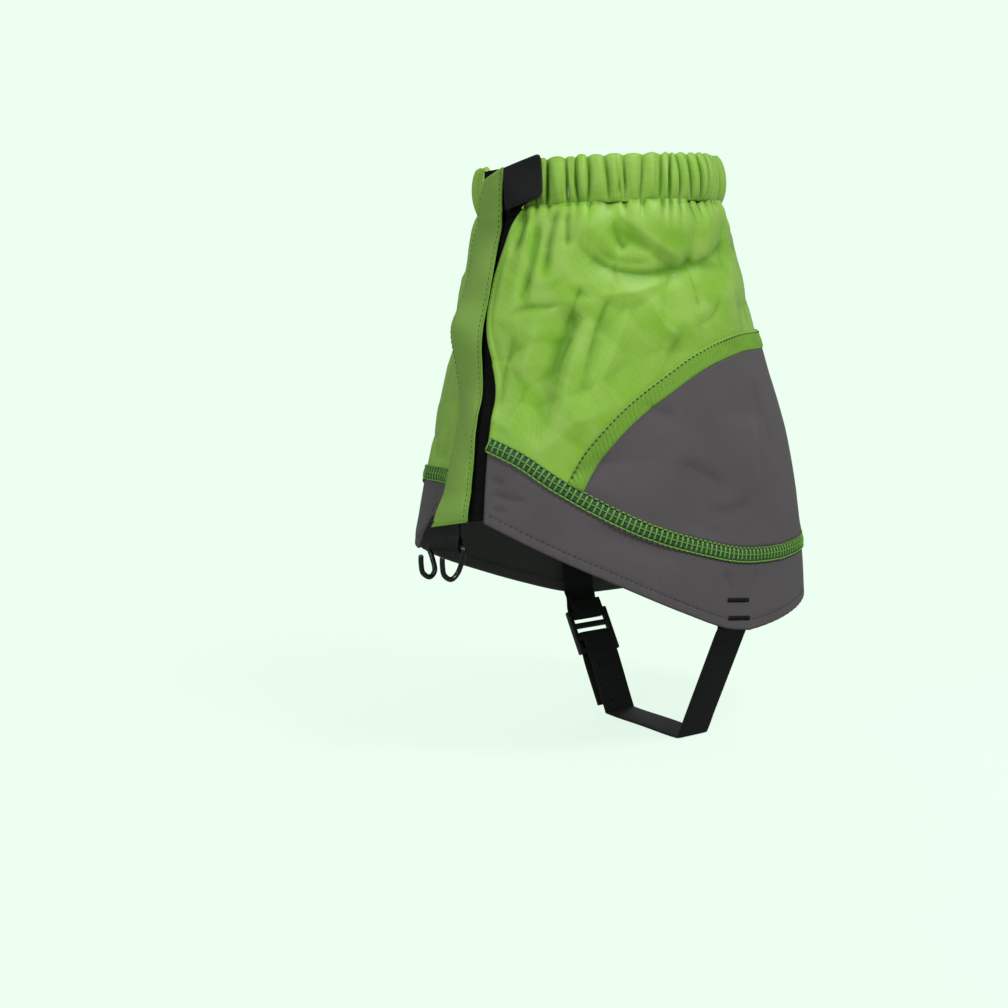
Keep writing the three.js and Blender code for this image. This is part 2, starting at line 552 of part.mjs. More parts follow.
// Left anchor, left run, under the sole, up the right run, over the wrap bar and down as the free tail.
const leftTop = new THREE.Vector2(strapX, STRAP_PIVOT_Z);
const soleZ = STRAP_THICKNESS / 2;
const leftRun = [0.25, 0.55, 0.85].map((share) => (
  leftTop.clone().lerp(new THREE.Vector2(SOLE_HALF_WIDTH + 1.5, 3.5), share)));
const strapLine = [
  leftTop, new THREE.Vector2(strapX - 0.4, STRAP_PIVOT_Z - 2), ...leftRun,
  new THREE.Vector2(SOLE_HALF_WIDTH + 1, soleZ + 1.6), new THREE.Vector2(SOLE_HALF_WIDTH - 1.6, soleZ),
  new THREE.Vector2(-SOLE_HALF_WIDTH + 1.6, soleZ), new THREE.Vector2(-SOLE_HALF_WIDTH - 0.6, soleZ + 1.6),
  onRightRun(wrapRadius, wrapBar - 2 * BUCKLE_PITCH),
  onRightRun(wrapRadius, wrapBar - BUCKLE_PITCH),
  ...HALF_TURN.map((a) => onRightRun(wrapRadius * Math.cos(a), wrapBar + wrapRadius * Math.sin(a))),
  onRightRun(-wrapRadius, wrapBar - BUCKLE_PITCH),
  onRightRun(-wrapRadius - 0.8, wrapBar - 2 * BUCKLE_PITCH),
  onRightRun(-wrapRadius - 1.6, wrapBar - TAIL_LENGTH),
];
add("instep_strap", strapSolid(strapLine, true), BLACK_WEB);

// Short webbing loop that holds the buckle's top bar.
const loopLine = [
  onRightRun(0, 0), onRightRun(-1, -2.5), onRightRun(-wrapRadius, -6),
  ...HALF_TURN.map((a) => onRightRun(-wrapRadius * Math.cos(a), topBar - wrapRadius * Math.sin(a))),
  onRightRun(wrapRadius, -6), onRightRun(wrapRadius, -3.5),
];
add("buckle_loop", strapSolid(loopLine, true), BLACK_WEB);

// Sewn ends behind the skirt, one on each side, and the bar tacks that hold them.
function sewnEnd(side) {
  return sheetSolid(8, 1, (u, v, face) => {
    const y = lerp(-halfStrap, halfStrap, side > 0 ? u : 1 - u);
    const foot = STRAP_PIVOT_Z + roundRise(y, ROUND_END + GAP);
    const z = lerp(foot, SEWN_END_TOP_Z, v);
    return [side * wrapX(y, z, behindFacing - STRAP_THICKNESS * (1 - face)), y, z];
  });
}
const tackSpread = BAR_TACK_LENGTH / 2 / millimetresPerDegree(STRAP_ANGLE, STRAP_PIVOT_Z);
const STRAP_SIDES = [
  { name: "left", side: 1 },
  { name: "right", side: -1 },
];
for (const { name, side } of STRAP_SIDES) {
  add(`sewn_end_${name}`, sewnEnd(side), BLACK_WEB);
  BAR_TACK_HEIGHTS.forEach((height, i) => {
    const centre = side * STRAP_ANGLE;
    const low = at(height - BAR_TACK_HEIGHT / 2);
    const high = at(height + BAR_TACK_HEIGHT / 2);
    const tack = band(centre - tackSpread, centre + tackSpread, low, high, overLayer, 1, 4);
    add(`bar_tack_${name}_${i + 1}`, tack, BLACK_WEB);
  });
}

// Ladder lock: a frame with three windows, hung from the webbing loop by its top bar.
// Local frame: x inwards, y across the strap, z up along the strap.
const EDGE_ROUND = 0.6;
const windowHalf = halfStrap + 0.6;
const frameHalf = windowHalf + BUCKLE_RAIL;
const rectangle = (shape, halfWidth, low, high) => {
  shape.moveTo(-halfWidth, low);
  shape.lineTo(halfWidth, low);
  shape.lineTo(halfWidth, high);
  shape.lineTo(-halfWidth, high);
  shape.closePath();
  return shape;
};
const halfBar = BUCKLE_BAR / 2;
const frameLow = topBar - 3 * BUCKLE_PITCH - halfBar;
const outline = rectangle(new THREE.Shape(), frameHalf - EDGE_ROUND, frameLow + EDGE_ROUND, topBar + halfBar
  - EDGE_ROUND);
for (const k of [1, 2, 3]) {
  const low = topBar - k * BUCKLE_PITCH + halfBar - EDGE_ROUND;
  const high = topBar - (k - 1) * BUCKLE_PITCH - halfBar + EDGE_ROUND;
  outline.holes.push(rectangle(new THREE.Path(), windowHalf + EDGE_ROUND, low, high));
}
const frameSolid = new THREE.ExtrudeGeometry(outline, {
  depth: BUCKLE_BAR - 2 * EDGE_ROUND, bevelEnabled: true, bevelThickness: EDGE_ROUND, bevelSize: EDGE_ROUND,
  bevelSegments: 1 });
frameSolid.rotateX(Math.PI / 2);
frameSolid.rotateZ(Math.PI / 2);
frameSolid.translate(-BUCKLE_BAR / 2 + EDGE_ROUND, 0, 0);
const buckleGroup = new THREE.Group();
buckleGroup.position.set(-strapX, 0, STRAP_PIVOT_Z);
buckleGroup.rotation.y = -lean;
model.add(buckleGroup);
add("ladder_lock", frameSolid, PLASTIC, buckleGroup);

export default model;
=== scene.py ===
"""Looks of an ankle gaiter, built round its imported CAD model.

The file is laid out as an add-on: sizes and colours are properties, each group of pieces has an operator, and
main() calls the operators in order. Lengths are metres. A place on the wrap is given as an angle in degrees
round the leg, from the front towards the wearer's left, a height above the ground, and an offset outwards.
"""
import math

import bpy
import numpy as np
from mathutils import Matrix, Vector


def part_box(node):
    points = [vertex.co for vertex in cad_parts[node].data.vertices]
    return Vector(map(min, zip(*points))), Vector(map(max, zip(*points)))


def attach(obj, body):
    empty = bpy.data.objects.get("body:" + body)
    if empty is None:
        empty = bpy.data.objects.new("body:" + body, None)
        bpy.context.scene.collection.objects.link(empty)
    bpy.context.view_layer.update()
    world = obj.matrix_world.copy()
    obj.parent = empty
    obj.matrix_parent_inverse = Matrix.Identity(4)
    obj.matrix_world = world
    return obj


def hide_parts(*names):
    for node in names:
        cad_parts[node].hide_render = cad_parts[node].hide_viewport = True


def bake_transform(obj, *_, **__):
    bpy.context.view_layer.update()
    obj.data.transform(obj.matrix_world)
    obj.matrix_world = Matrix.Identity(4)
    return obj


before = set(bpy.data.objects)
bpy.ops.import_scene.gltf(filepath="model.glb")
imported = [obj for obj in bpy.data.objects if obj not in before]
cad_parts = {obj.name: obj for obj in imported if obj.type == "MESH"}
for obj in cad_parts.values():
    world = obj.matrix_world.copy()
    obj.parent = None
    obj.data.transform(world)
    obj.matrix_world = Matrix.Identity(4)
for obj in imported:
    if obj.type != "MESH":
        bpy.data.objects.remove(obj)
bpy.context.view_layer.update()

bl_info = {
    "name": "Ankle gaiter",
    "version": (1, 0, 0),
    "blender": (4, 5, 0),
    "location": "View3D > Sidebar > Gaiter",
    "description": "Cloth, thread, webbing and fittings of an ankle gaiter round its CAD frame",
    "category": "Object",
}

MM = 0.001

# ---- Sizes shared with the frame ----
CUT = 0.15 * MM  # half the gap between two solids cut from one cloth
GATHER_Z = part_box("upper_panel")[1].z + CUT
CUFF_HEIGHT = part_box("cuff_casing")[1].z - GATHER_Z - CUT
LEG_AXIS_Y = -21 * MM
GROUND_EDGE_Z = 40 * MM
CUFF_HALF_WIDTH = 58.5 * MM
CUFF_HALF_DEPTH = 59.5 * MM
HEM_HALF_WIDTH = 71 * MM
HEM_HALF_DEPTH = 104.5 * MM
HEM_FRONT_Z = 119 * MM
HEM_SIDE_Z = 57.3 * MM
HEM_BACK_Z = 62 * MM
SEAM_FRONT_Z = 153 * MM
SEAM_BACK_Z = 90.3 * MM
RIGHT_FRONT_DROP = 16 * MM
HEEL_TOP_Z = 187.5 * MM
HEEL_START_ANGLE = 57
HEEL_LEVEL_ANGLE = 135
BINDING_WIDTH = 8.4 * MM
PLACKET_WIDTH = 22 * MM
PLACKET_FOOT_Z = HEM_FRONT_Z - 2 * MM
PLACKET_TOP_Z = GATHER_Z + CUFF_HEIGHT - 2 * MM
SEWN_EDGE_FOOT_X = 1.8 * MM
SEWN_EDGE_TOP_X = -10.5 * MM
HINGE_ANGLE = 270  # the right front bends away from the wrap here
RIGHT_FRONT_END = 360  # angles of the right front count up to the front again

# ---- Small tools ----


def lerp(start, end, share):
    return start + (end - start) * share


def ramp(value, start, end):
    share = np.clip((value - start) / (end - start), 0, 1)
    return share * share * (3 - 2 * share)


def hump(value, centre, width):
    return np.exp(-(((value - centre) / width) ** 2))


def curve_through(*points):
    """A smooth function through a few (x, y) points."""
    xs, ys = (np.array(side, float) for side in zip(*points))
    last = len(xs) - 1
    before = np.maximum(np.arange(last + 1) - 1, 0)
    after = np.minimum(np.arange(last + 1) + 1, last)
    slopes = (ys[after] - ys[before]) / (xs[after] - xs[before])

    def value(x):
        x = np.clip(x, xs[0], xs[-1])
        i = np.clip(np.searchsorted(xs, x, side="left") - 1, 0, last - 1)
        width = xs[i + 1] - xs[i]
        s = (x - xs[i]) / width
        start = (2 * s**3 - 3 * s**2 + 1) * ys[i] + (s**3 - 2 * s**2 + s) * width * slopes[i]
        end = (3 * s**2 - 2 * s**3) * ys[i + 1] + (s**3 - s**2) * width * slopes[i + 1]
        return start + end

    return value


def unit(vectors):
    return vectors / np.maximum(np.linalg.norm(vectors, axis=-1, keepdims=True), 1e-12)


def smooth_path(corners, count):
    """count points spaced evenly along a smooth curve through the corners."""
    corners = np.array(corners, float)
    steps = np.linalg.norm(np.diff(corners, axis=0), axis=1) ** 0.5
    places = np.concatenate([[0], np.cumsum(steps)])
    fine = np.linspace(0, places[-1], 40 * len(corners))
    curve = np.stack([curve_through(*zip(places, corners[:, k]))(fine) for k in range(corners.shape[1])], -1)
    run = np.concatenate([[0], np.cumsum(np.linalg.norm(np.diff(curve, axis=0), axis=1))])
    even = np.linspace(0, run[-1], count)
    return np.stack([np.interp(even, run, curve[:, k]) for k in range(corners.shape[1])], -1)


# ---- The wrap's own surface and its edges ----
DEPTH_TAPER = curve_through((0, 1), (0.23, 0.99), (0.46, 0.81), (0.69, 0.456), (0.9, 0.144), (1, 0))


def wrap_halves(z):
    share = np.clip((z - GROUND_EDGE_Z) / (GATHER_Z - GROUND_EDGE_Z), 0, 1)
    half_width = lerp(CUFF_HALF_WIDTH, HEM_HALF_WIDTH, 1 - share**1.8)
    half_depth = lerp(CUFF_HALF_DEPTH, HEM_HALF_DEPTH, DEPTH_TAPER(share))
    return half_width, half_depth


def wrap_point(angle, z, offset=0.0):
    half_width, half_depth = wrap_halves(z)
    a = np.radians(angle)
    x = (half_width + offset) * np.sin(a)
    y = LEG_AXIS_Y - (half_depth + offset) * np.cos(a)
    return np.stack(np.broadcast_arrays(x, y, z), -1)


def metres_per_degree(angle, z):
    half_width, half_depth = wrap_halves(z)
    a = np.radians(angle)
    return np.hypot(half_width * np.cos(a), half_depth * np.sin(a)) * math.pi / 180


def from_front(angle):
    """The angle's distance from the front, whichever way round."""
    return np.minimum(np.abs(angle), np.abs(360 - angle))


HEM_FALL = curve_through((24, 0), (39, 0.16), (62, 0.455), (84, 0.77), (97, 0.94), (106, 1))
SEAM_FALL = curve_through(
    (24, 0), (37, 0.12), (50, 0.315), (62, 0.5), (76, 0.695), (91, 0.85), (105, 0.955), (122, 1)
)


def hem_z(angle):
    a = from_front(angle)
    on_right = np.where(np.mod(angle, 360) > 180, a, 0)
    front = HEM_FRONT_Z - RIGHT_FRONT_DROP * ramp(on_right, 2, 10)
    falling = lerp(front, HEM_SIDE_Z, np.maximum(0, HEM_FALL(a)))
    return np.where(a > 106, lerp(HEM_SIDE_Z, HEM_BACK_Z, ramp(a, 106, 160)), falling)


def seam_z(angle):
    front = np.where(np.asarray(angle) < 180, SEAM_FRONT_Z, SEAM_FRONT_Z - RIGHT_FRONT_DROP)
    return lerp(front, SEAM_BACK_Z, SEAM_FALL(from_front(angle)))


HEEL_RISE = curve_through(
    (0, 0), (0.03, 0.13), (0.07, 0.26), (0.17, 0.48), (0.3, 0.67), (0.5, 0.88), (0.75, 0.985), (1, 1)
)


def heel_edge_z(angle, start, top, foot_rise):
    """Height of a curved edge over the heel, which leaves the flatlock seam at start and levels out."""
    foot = seam_z(start) + foot_rise
    share = np.clip((from_front(angle) - start) / (HEEL_LEVEL_ANGLE - start), 0, 1)
    return lerp(foot, top, HEEL_RISE(share))


SHELL_EDGE = curve_through(
    (0.44, 27), (0.6, 25.3), (0.69, 23.5), (0.79, 15.2), (0.86, 12.4), (0.93, 14.6), (1, 21.4)
)


def shell_edge(z):
    """Angle of the left front edge of the cloth."""
    return SHELL_EDGE(z / GATHER_Z)


def placket_left(z):
    """Angle of the placket's sewn edge, which is straight in x."""
    x = lerp(SEWN_EDGE_FOOT_X, SEWN_EDGE_TOP_X, (z - PLACKET_FOOT_Z) / (GATHER_Z - PLACKET_FOOT_Z))
    return np.degrees(np.arcsin(x / wrap_halves(z)[0]))


def closing_edge(z):
    return placket_left(z) + PLACKET_WIDTH / metres_per_degree(10, z)


def right_front_edge(z):
    """The right front reaches a little way under the placket."""
    return RIGHT_FRONT_END + placket_left(z) + 2.5


# ---- Folds of the cloth ----
# How far the front stands out beside the placket's sewn edge, by height: the closed front buckles in a wave.
FRONT_WAVE = curve_through(
    (110 * MM, 0), (120 * MM, -3.2 * MM), (136 * MM, -6.8 * MM), (156 * MM, -8.2 * MM), (172 * MM, -7.0 * MM),
    (186 * MM, -1.6 * MM), (204 * MM, 4.2 * MM), (218 * MM, 1.8 * MM), (238 * MM, 0.2 * MM), (256 * MM, 0),
)
WAVE_ANGLE = -5  # the wave is deepest here and fades over the next angle
WAVE_SPREAD = 17

# A fold follows a few (angle, height in mm) places, is so many mm high there (a valley is negative), and
# fades over so many mm to the left and to the right of its run. A crease has a sharp line, a roll a soft one.
CREASE, ROLL = "crease", "roll"
LEFT_FOLDS = (
    (((62, 255), (79, 238), (97, 227)), 1.7, 11, 3, CREASE),
    (((97, 227), (107, 230), (126, 239)), -1.7, 3.5, 9, CREASE),
    (((46, 253), (49, 240), (59, 229), (75, 224), (96, 226.5)), -2.6, 4, 9, CREASE),
    (((56, 236), (66, 230), (80, 229)), -1.0, 3, 3, CREASE),
    (((62, 252), (65, 240), (69, 234)), -1.3, 2, 5, CREASE),
    (((97, 226), (98, 205)), -1.2, 6, 3, CREASE),
    (((52, 221), (49, 210), (47, 198)), -1.7, 5, 3, CREASE),
    (((51, 212), (45, 188), (43, 164), (41, 146)), -3.0, 5, 7, ROLL),
    (((57, 206), (51, 186), (49, 160)), 1.3, 5, 4, ROLL),
    (((22, 207), (28, 211), (41, 211.5), (48, 212)), -1.1, 1.6, 4, CREASE),
    (((25, 256), (21, 235), (20.5, 214)), -2.2, 2.6, 3, ROLL),
    (((31.5, 256), (30, 236), (28, 210)), -2.6, 3, 2.4, ROLL),
    (((38, 256), (36, 238), (37, 222)), -2.2, 2.6, 3, ROLL),
    (((43, 254), (45, 236)), -1.5, 2, 3, CREASE),
    (((77, 215), (82, 201), (88, 195)), 1.5, 3, 8, CREASE),
    (((64, 220), (57, 196), (54, 168)), -1.5, 8, 3, CREASE),
    (((70, 214), (66, 196), (60, 176), (57, 158)), 1.6, 4, 7, CREASE),
    (((88, 222), (72, 217), (56, 215)), 1.6, 9, 3, CREASE),
    (((112, 214), (104, 204), (92, 199)), -1.2, 7, 3, CREASE),
    (((38, 205), (34, 184), (33, 160)), 1.2, 3, 6, CREASE),
    (((28, 200), (26, 180), (27, 163)), -1.0, 2.5, 5, CREASE),
    (((116, 160), (113, 136), (111, 108)), 1.7, 4, 12, CREASE),
    (((84, 141), (94, 133), (103, 124)), -1.1, 2.5, 9, CREASE),
    (((73, 168), (80, 163), (86, 161)), -0.7, 1.6, 5, CREASE),
    (((92, 118), (101, 115), (110, 119)), -0.7, 1.6, 4, CREASE),
    (((119, 175), (124, 150), (126, 120)), -0.9, 4, 8, CREASE),
    (((28, 131), (34, 128.5), (41, 127)), -0.9, 1.2, 3, CREASE),
    (((28, 137), (33, 135)), -0.8, 1, 3, CREASE),
    (((29, 124), (35, 122)), -0.6, 1, 3, CREASE),
    (((58, 116), (75, 104), (88, 97)), -0.9, 3.5, 6, ROLL),
    (((98, 88), (101, 74), (101, 62)), -0.7, 1.5, 3, CREASE),
    (((110, 86), (108, 74), (108, 62)), -0.6, 3, 1.5, CREASE),
)
PINCH_ANGLE = 97  # the folds of the left side meet in a pinch here
PINCH_Z = 227 * MM
PINCH_DEPTH = 2.2 * MM
PINCH_RADIUS = 4.5 * MM
CREASE_ROUNDING = 0.04  # of a crease's width
FOLD_POINTS = 90
SEED = 7


def hidden_side_folds():
    """Folds of the back and the right side, which nobody arranged: scattered, the same ones each time."""
    random = np.random.default_rng(SEED)
    folds = []
    for _ in range(34):
        angle = random.uniform(128, 338)
        top = random.uniform(196, 252)
        length = random.uniform(14, 46)
        slant = random.uniform(-14, 14)
        middle = (angle + slant * 0.5 + random.uniform(-3, 3), top - length / 2)
        places = ((angle, top), middle, (angle + slant, top - length))
        height = random.choice([-1, -1, 1]) * random.uniform(0.9, 2.3)
        gentle, steep = random.uniform(5, 11), random.uniform(2.4, 4)
        widths = (gentle, steep) if random.uniform(0, 1) < 0.5 else (steep, gentle)
        folds.append((places, height, *widths, random.choice([CREASE, CREASE, ROLL])))
    for _ in range(12):
        angle = random.uniform(130, 335)
        z = random.uniform(104, 168)
        places = ((angle, z), (angle + random.uniform(4, 9), z - random.uniform(4, 22)))
        folds.append((places, random.uniform(-1.1, 1.1), 2.5, random.uniform(5, 9), CREASE))
    return tuple(folds)


def fold_offset(angle, z, fold):
    """How far a fold moves the cloth out, in metres, at each place."""
    places, height, left_width, right_width, profile = fold
    line = smooth_path([(a, h * MM) for a, h in places], FOLD_POINTS)
    scale = metres_per_degree(line[:, 0], line[:, 1]).mean()
    flat = np.stack([line[:, 0] * scale, line[:, 1]], -1)
    heading = unit(np.gradient(flat, axis=0))
    reach = 4 * max(left_width, right_width) * MM
    x = angle * scale
    near = (x > flat[:, 0].min() - reach) & (x < flat[:, 0].max() + reach)
    near &= (z > flat[:, 1].min() - reach) & (z < flat[:, 1].max() + reach)
    out = np.zeros(np.shape(x))
    if not near.any():
        return out
    away = np.stack([x[near], z[near]], -1)[:, None, :] - flat[None]
    distance = np.linalg.norm(away, axis=-1)
    nearest = distance.argmin(1)
    row = np.arange(len(nearest))
    across = away[row, nearest]
    on_left = heading[nearest, 0] * across[:, 1] - heading[nearest, 1] * across[:, 0] > 0
    d = distance[row, nearest] / (np.where(on_left, left_width, right_width) * MM)
    along = nearest / (len(flat) - 1)
    strength = ramp(along, -0.02, 0.3) * ramp(along, 1.02, 0.7)
    if profile == ROLL:
        shape = np.exp(-d * d)
    else:
        shape = np.exp(CREASE_ROUNDING - np.hypot(d, CREASE_ROUNDING))
    out[near] = strength * height * shape * MM
    return out


class Pleats:
    """The uneven valleys that the elastic gathers the cloth into, round the whole cuff."""

    def __init__(self):
        random = np.random.default_rng(SEED + 1)
        gaps = random.choice([4.2, 5.4, 6.6, 7.8, 9.6], 80) + random.uniform(-0.6, 0.6, 80)
        angles = 14 + np.concatenate([[0], np.cumsum(gaps)])
        self.valleys = angles[angles < 352]
        count = len(self.valleys)
        self.depth = random.uniform(0.3, 1.0, count)
        self.fade = random.uniform(4, 15, count) * MM
        self.drift = random.uniform(-0.12, 0.12, count)
        self.height = random.uniform(0.6, 1.15, count + 1)
        self.fullness = random.uniform(1.5, 4.0, count + 1)
        self.slant = random.uniform(-1.9, 1.9, count)
        self.bow = random.uniform(-1.2, 1.2, count)
        self.creases = [
            (random.uniform(14, 352), random.uniform(0, 1), random.uniform(0.25, 0.5), random.uniform(-3, 3),
             random.uniform(0.12, 0.34))
            for _ in range(110)
        ]

    def puff(self, angle, share):
        """From 0 in a valley to about 1 on top of a puff; share is the height up the cuff."""
        angle, share = np.ravel(angle)[:, None], np.ravel(share)[:, None]
        moved = self.valleys + self.slant * (share - 0.5) + self.bow * (share - 0.5) ** 2 * 3
        after = np.sum(angle > moved, axis=1)
        padded = np.concatenate([moved[:, :1] - 7, moved, moved[:, -1:] + 7], axis=1)
        rows = np.arange(len(after))
        low, high = padded[rows, after], padded[rows, after + 1]
        s = np.clip((angle[:, 0] - low) / (high - low), 0, 1)
        puffs = (1 - np.abs(2 * s - 1) ** self.fullness[after]) * self.height[after]
        for middle, level, reach, lean, depth in self.creases:
            away = angle[:, 0] - middle - lean * (share[:, 0] - level)
            puffs -= depth * np.exp(-np.abs(away) / 0.55) * hump(share[:, 0], level, reach)
        return puffs

    def gathers(self, angle, z):
        """How far the cloth under the stitch line is pulled in, in metres for a depth of one."""
        below = np.maximum(0, GATHER_Z - z)
        total = np.zeros(np.shape(angle))
        for valley, depth, fade, drift in zip(self.valleys, self.depth, self.fade, self.drift):
            width = 1.15 + below / (9 * MM)
            total -= depth * np.exp(-below / fade) * hump(angle, valley + drift * below / MM, width)
        return total


RUN_PER_DEGREE = 1.15 * MM  # cloth round the leg for each degree, about


class Puckers:
    """Shallow puffs of crumpled nylon that meet in sharp valleys, or dents that meet in ridges."""

    def __init__(self, spacing, tilt, direction, seed):
        random = np.random.default_rng(seed)
        width, low, high = 360 * RUN_PER_DEGREE, SEAM_BACK_Z - 0.3 * MM, GATHER_Z + 6 * MM
        count = int(width * (high - low) / spacing**2)
        self.places = np.stack([random.uniform(0, width, count), random.uniform(low, high, count)], -1)
        self.tilts = random.normal(0, tilt, (count, 2))
        self.levels = random.uniform(0, 0.45 * spacing * tilt, count)
        self.stretch = np.exp(random.normal(0, 0.35, (count, 2)))
        self.bowl = 1.5 * tilt / spacing
        self.direction = direction

    def height(self, x, z):
        points = np.stack([np.ravel(x), np.ravel(z)], -1)
        lowest = np.empty(len(points))
        for block in range(0, len(points), 20000):
            away = points[block : block + 20000, None] - self.places
            bowls = self.levels + (away * self.tilts).sum(-1) + self.bowl * (away**2 * self.stretch).sum(-1)
            lowest[block : block + 20000] = bowls.min(1)
        return self.direction * (lowest - lowest.mean()).reshape(np.shape(x))


PLEATS = Pleats()
BROAD_PUCKERS = Puckers(24 * MM, 0.11, -1, SEED + 4)
MIDDLE_PUCKERS = Puckers(14 * MM, 0.09, 1, SEED + 5)
FOLDS = LEFT_FOLDS + hidden_side_folds()


def crumple(turned, z):
    """Creases of the green cloth in metres."""
    x = turned * RUN_PER_DEGREE
    return 0.6 * BROAD_PUCKERS.height(x, z) + 0.4 * MIDDLE_PUCKERS.height(x, z)


def drape(angle, z):
    """How far the cloth stands out from the wrap's plain surface, for every layer at that place."""
    angle, z = np.broadcast_arrays(np.asarray(angle, float), np.asarray(z, float))
    turned = np.mod(angle, 360)
    sizes = bpy.context.scene.gaiter_sizes
    total = np.zeros(angle.shape)
    for fold in FOLDS:
        total += fold_offset(turned, z, fold)
    pinch_x = (turned - PINCH_ANGLE) * metres_per_degree(PINCH_ANGLE, PINCH_Z)
    total -= PINCH_DEPTH * np.exp(-(pinch_x**2 + (z - PINCH_Z) ** 2) / PINCH_RADIUS**2)
    round_leg = np.radians(turned)
    slow = np.sin(round_leg * 5 + z / (31 * MM)) + 0.7 * np.sin(round_leg * 11 - z / (17 * MM))
    total += 0.35 * MM * slow * ramp(z, SEAM_BACK_Z, SEAM_BACK_Z + 60 * MM)
    above_seam = ramp(z, seam_z(turned) + 2 * MM, seam_z(turned) + 12 * MM)
    covered = ramp(np.abs(turned - 180), 124, 108) * ramp(z, HEEL_TOP_Z + 16 * MM, HEEL_TOP_Z)
    total += crumple(turned, z) * above_seam * (1 - 0.8 * covered)
    total *= sizes.fold_depth
    below = np.maximum(0, GATHER_Z - z)
    total += sizes.gather_depth * PLEATS.gathers(turned, z)
    total += (0.9 * hump(below, 9 * MM, 7 * MM) - 1.1 * np.exp(-below / (2.5 * MM))) * MM
    signed = np.where(turned > 180, turned - 360, turned)
    beside = ramp(np.abs(signed - 4), 9, 15)
    total *= beside
    wave = FRONT_WAVE(z) * hump(signed, WAVE_ANGLE, WAVE_SPREAD)
    return (total + wave * sizes.fold_depth) * ramp(z, GATHER_Z + 4 * MM, GATHER_Z)


def surface(angle, z, offset=0.0):
    """Places on the draped cloth, offset outwards."""
    return wrap_point(angle, z, offset + drape(angle, z))


def surface_frame(angle, z, offset=0.0):
    """Places on the draped cloth with the unit directions round the leg, up the cloth and outwards."""
    step_angle, step_z = 0.25, 0.3 * MM
    here = surface(angle, z, offset)
    around = unit(surface(angle + step_angle, z, offset) - surface(angle - step_angle, z, offset))
    up = unit(surface(angle, z + step_z, offset) - surface(angle, z - step_z, offset))
    return here, around, up, unit(np.cross(around, up))


# ---- Meshes ----


def add_mesh(name, points, faces, cloth=None):
    """A smooth mesh object; cloth holds each point's place on the flat cloth, for weaves and ribs.

    A corner that a face names twice counts once.
    """
    mesh = bpy.data.meshes.new(name)
    corners = [tuple(dict.fromkeys(face)) for face in np.asarray(faces).tolist()]
    mesh.from_pydata(np.asarray(points, float).reshape(-1, 3).tolist(), [], corners)
    mesh.shade_smooth()
    if cloth is not None:
        attribute = mesh.attributes.new("cloth", "FLOAT_VECTOR", "POINT")
        attribute.data.foreach_set("vector", np.asarray(cloth, np.float32).ravel())
    made = bpy.data.objects.new(name, mesh)
    bpy.context.scene.collection.objects.link(made)
    return made


def flat_places(points):
    """Each grid point's place on the flat cloth: the run along its row and up its column."""
    across = np.linalg.norm(np.diff(points, axis=1), axis=-1)
    upwards = np.linalg.norm(np.diff(points, axis=0), axis=-1)
    x = np.concatenate([np.zeros((len(points), 1)), np.cumsum(across, axis=1)], axis=1)
    z = np.concatenate([np.zeros((1, points.shape[1])), np.cumsum(upwards, axis=0)], axis=0)
    middle = points.shape[1] // 3
    return np.stack([x - x[:, middle : middle + 1], z, np.zeros_like(x)], -1)


def smoothed(grid, rounds):
    for _ in range(rounds):
        wide = np.pad(grid, 1, mode="edge")
        grid = (wide[:-2, 1:-1] + wide[2:, 1:-1] + wide[1:-1, :-2] + wide[1:-1, 2:] + grid) / 5
    return grid


def relief_of(lift, rounds=14):
    """How far the cloth stands out beside its neighbourhood, in mm: -1 deep in a valley, 1 high on the
    ridges. It sets the painted shade in fold valleys and the painted highlight on fold ridges.
    """
    return np.clip((lift - smoothed(lift, rounds)) / MM, -1, 1)


def sheet_mesh(name, outer, inner, relief=None):
    """A sheet with thickness between two grids of points: rows upwards, columns to the right from outside."""
    rows, columns = outer.shape[:2]
    count = rows * columns
    points = np.concatenate([outer.reshape(-1, 3), inner.reshape(-1, 3)])
    at = np.arange(count).reshape(rows, columns)
    front = np.stack([at[:-1, :-1], at[:-1, 1:], at[1:, 1:], at[1:, :-1]], -1).reshape(-1, 4)
    back = front[:, ::-1] + count
    edge = np.concatenate([at[0, :], at[1:, -1], at[-1, -2::-1], at[-2:0:-1, 0]])
    after = np.roll(edge, -1)
    rim = np.stack([after, edge, edge + count, after + count], -1)
    places = flat_places(outer).reshape(-1, 3)
    made = add_mesh(name, points, np.concatenate([front, back, rim]), np.concatenate([places, places]))
    if relief is not None:
        attribute = made.data.attributes.new("relief", "FLOAT", "POINT")
        attribute.data.foreach_set("value", np.tile(relief.ravel(), 2).astype(np.float32))
    return made


def tube_faces(rings, sides):
    """Faces of one tube whose points run ring by ring; a cap's triangle repeats its last corner."""
    i, k = np.meshgrid(np.arange(rings - 1), np.arange(sides), indexing="ij")
    k2 = (k + 1) % sides
    low, high = i * sides, (i + 1) * sides
    quads = np.stack([low + k, low + k2, high + k2, high + k], -1).reshape(-1, 4)
    start = np.arange(sides)[::-1]
    end = (rings - 1) * sides + np.arange(sides)
    caps = [[c[0], c[k + 1], c[k + 2], c[k + 2]] for c in (start, end) for k in range(sides - 2)]
    return np.concatenate([quads, caps])


WEBBING_SQUARENESS = 0.35


def section(sides, power):
    """Two coordinates round an oval section: a circle at a power of 1, squarer as it falls to 0."""
    turn = np.linspace(0, 2 * math.pi, sides, endpoint=False)
    c, s = np.cos(turn), np.sin(turn)
    return np.sign(c) * np.abs(c) ** power, np.sign(s) * np.abs(s) ** power


def swept(paths, sides_vector, out_vector, half_wide, half_deep, sides=8, power=2.0):
    """Points of tubes along paths (tubes, rings, 3), with an oval section between two directions."""
    c, s = section(sides, 2 / power)
    wide = np.asarray(half_wide)[..., None] * c
    deep = np.asarray(half_deep)[..., None] * s
    return (
        paths[..., None, :]
        + wide[..., None] * sides_vector[..., None, :]
        + deep[..., None] * out_vector[..., None, :]
    )


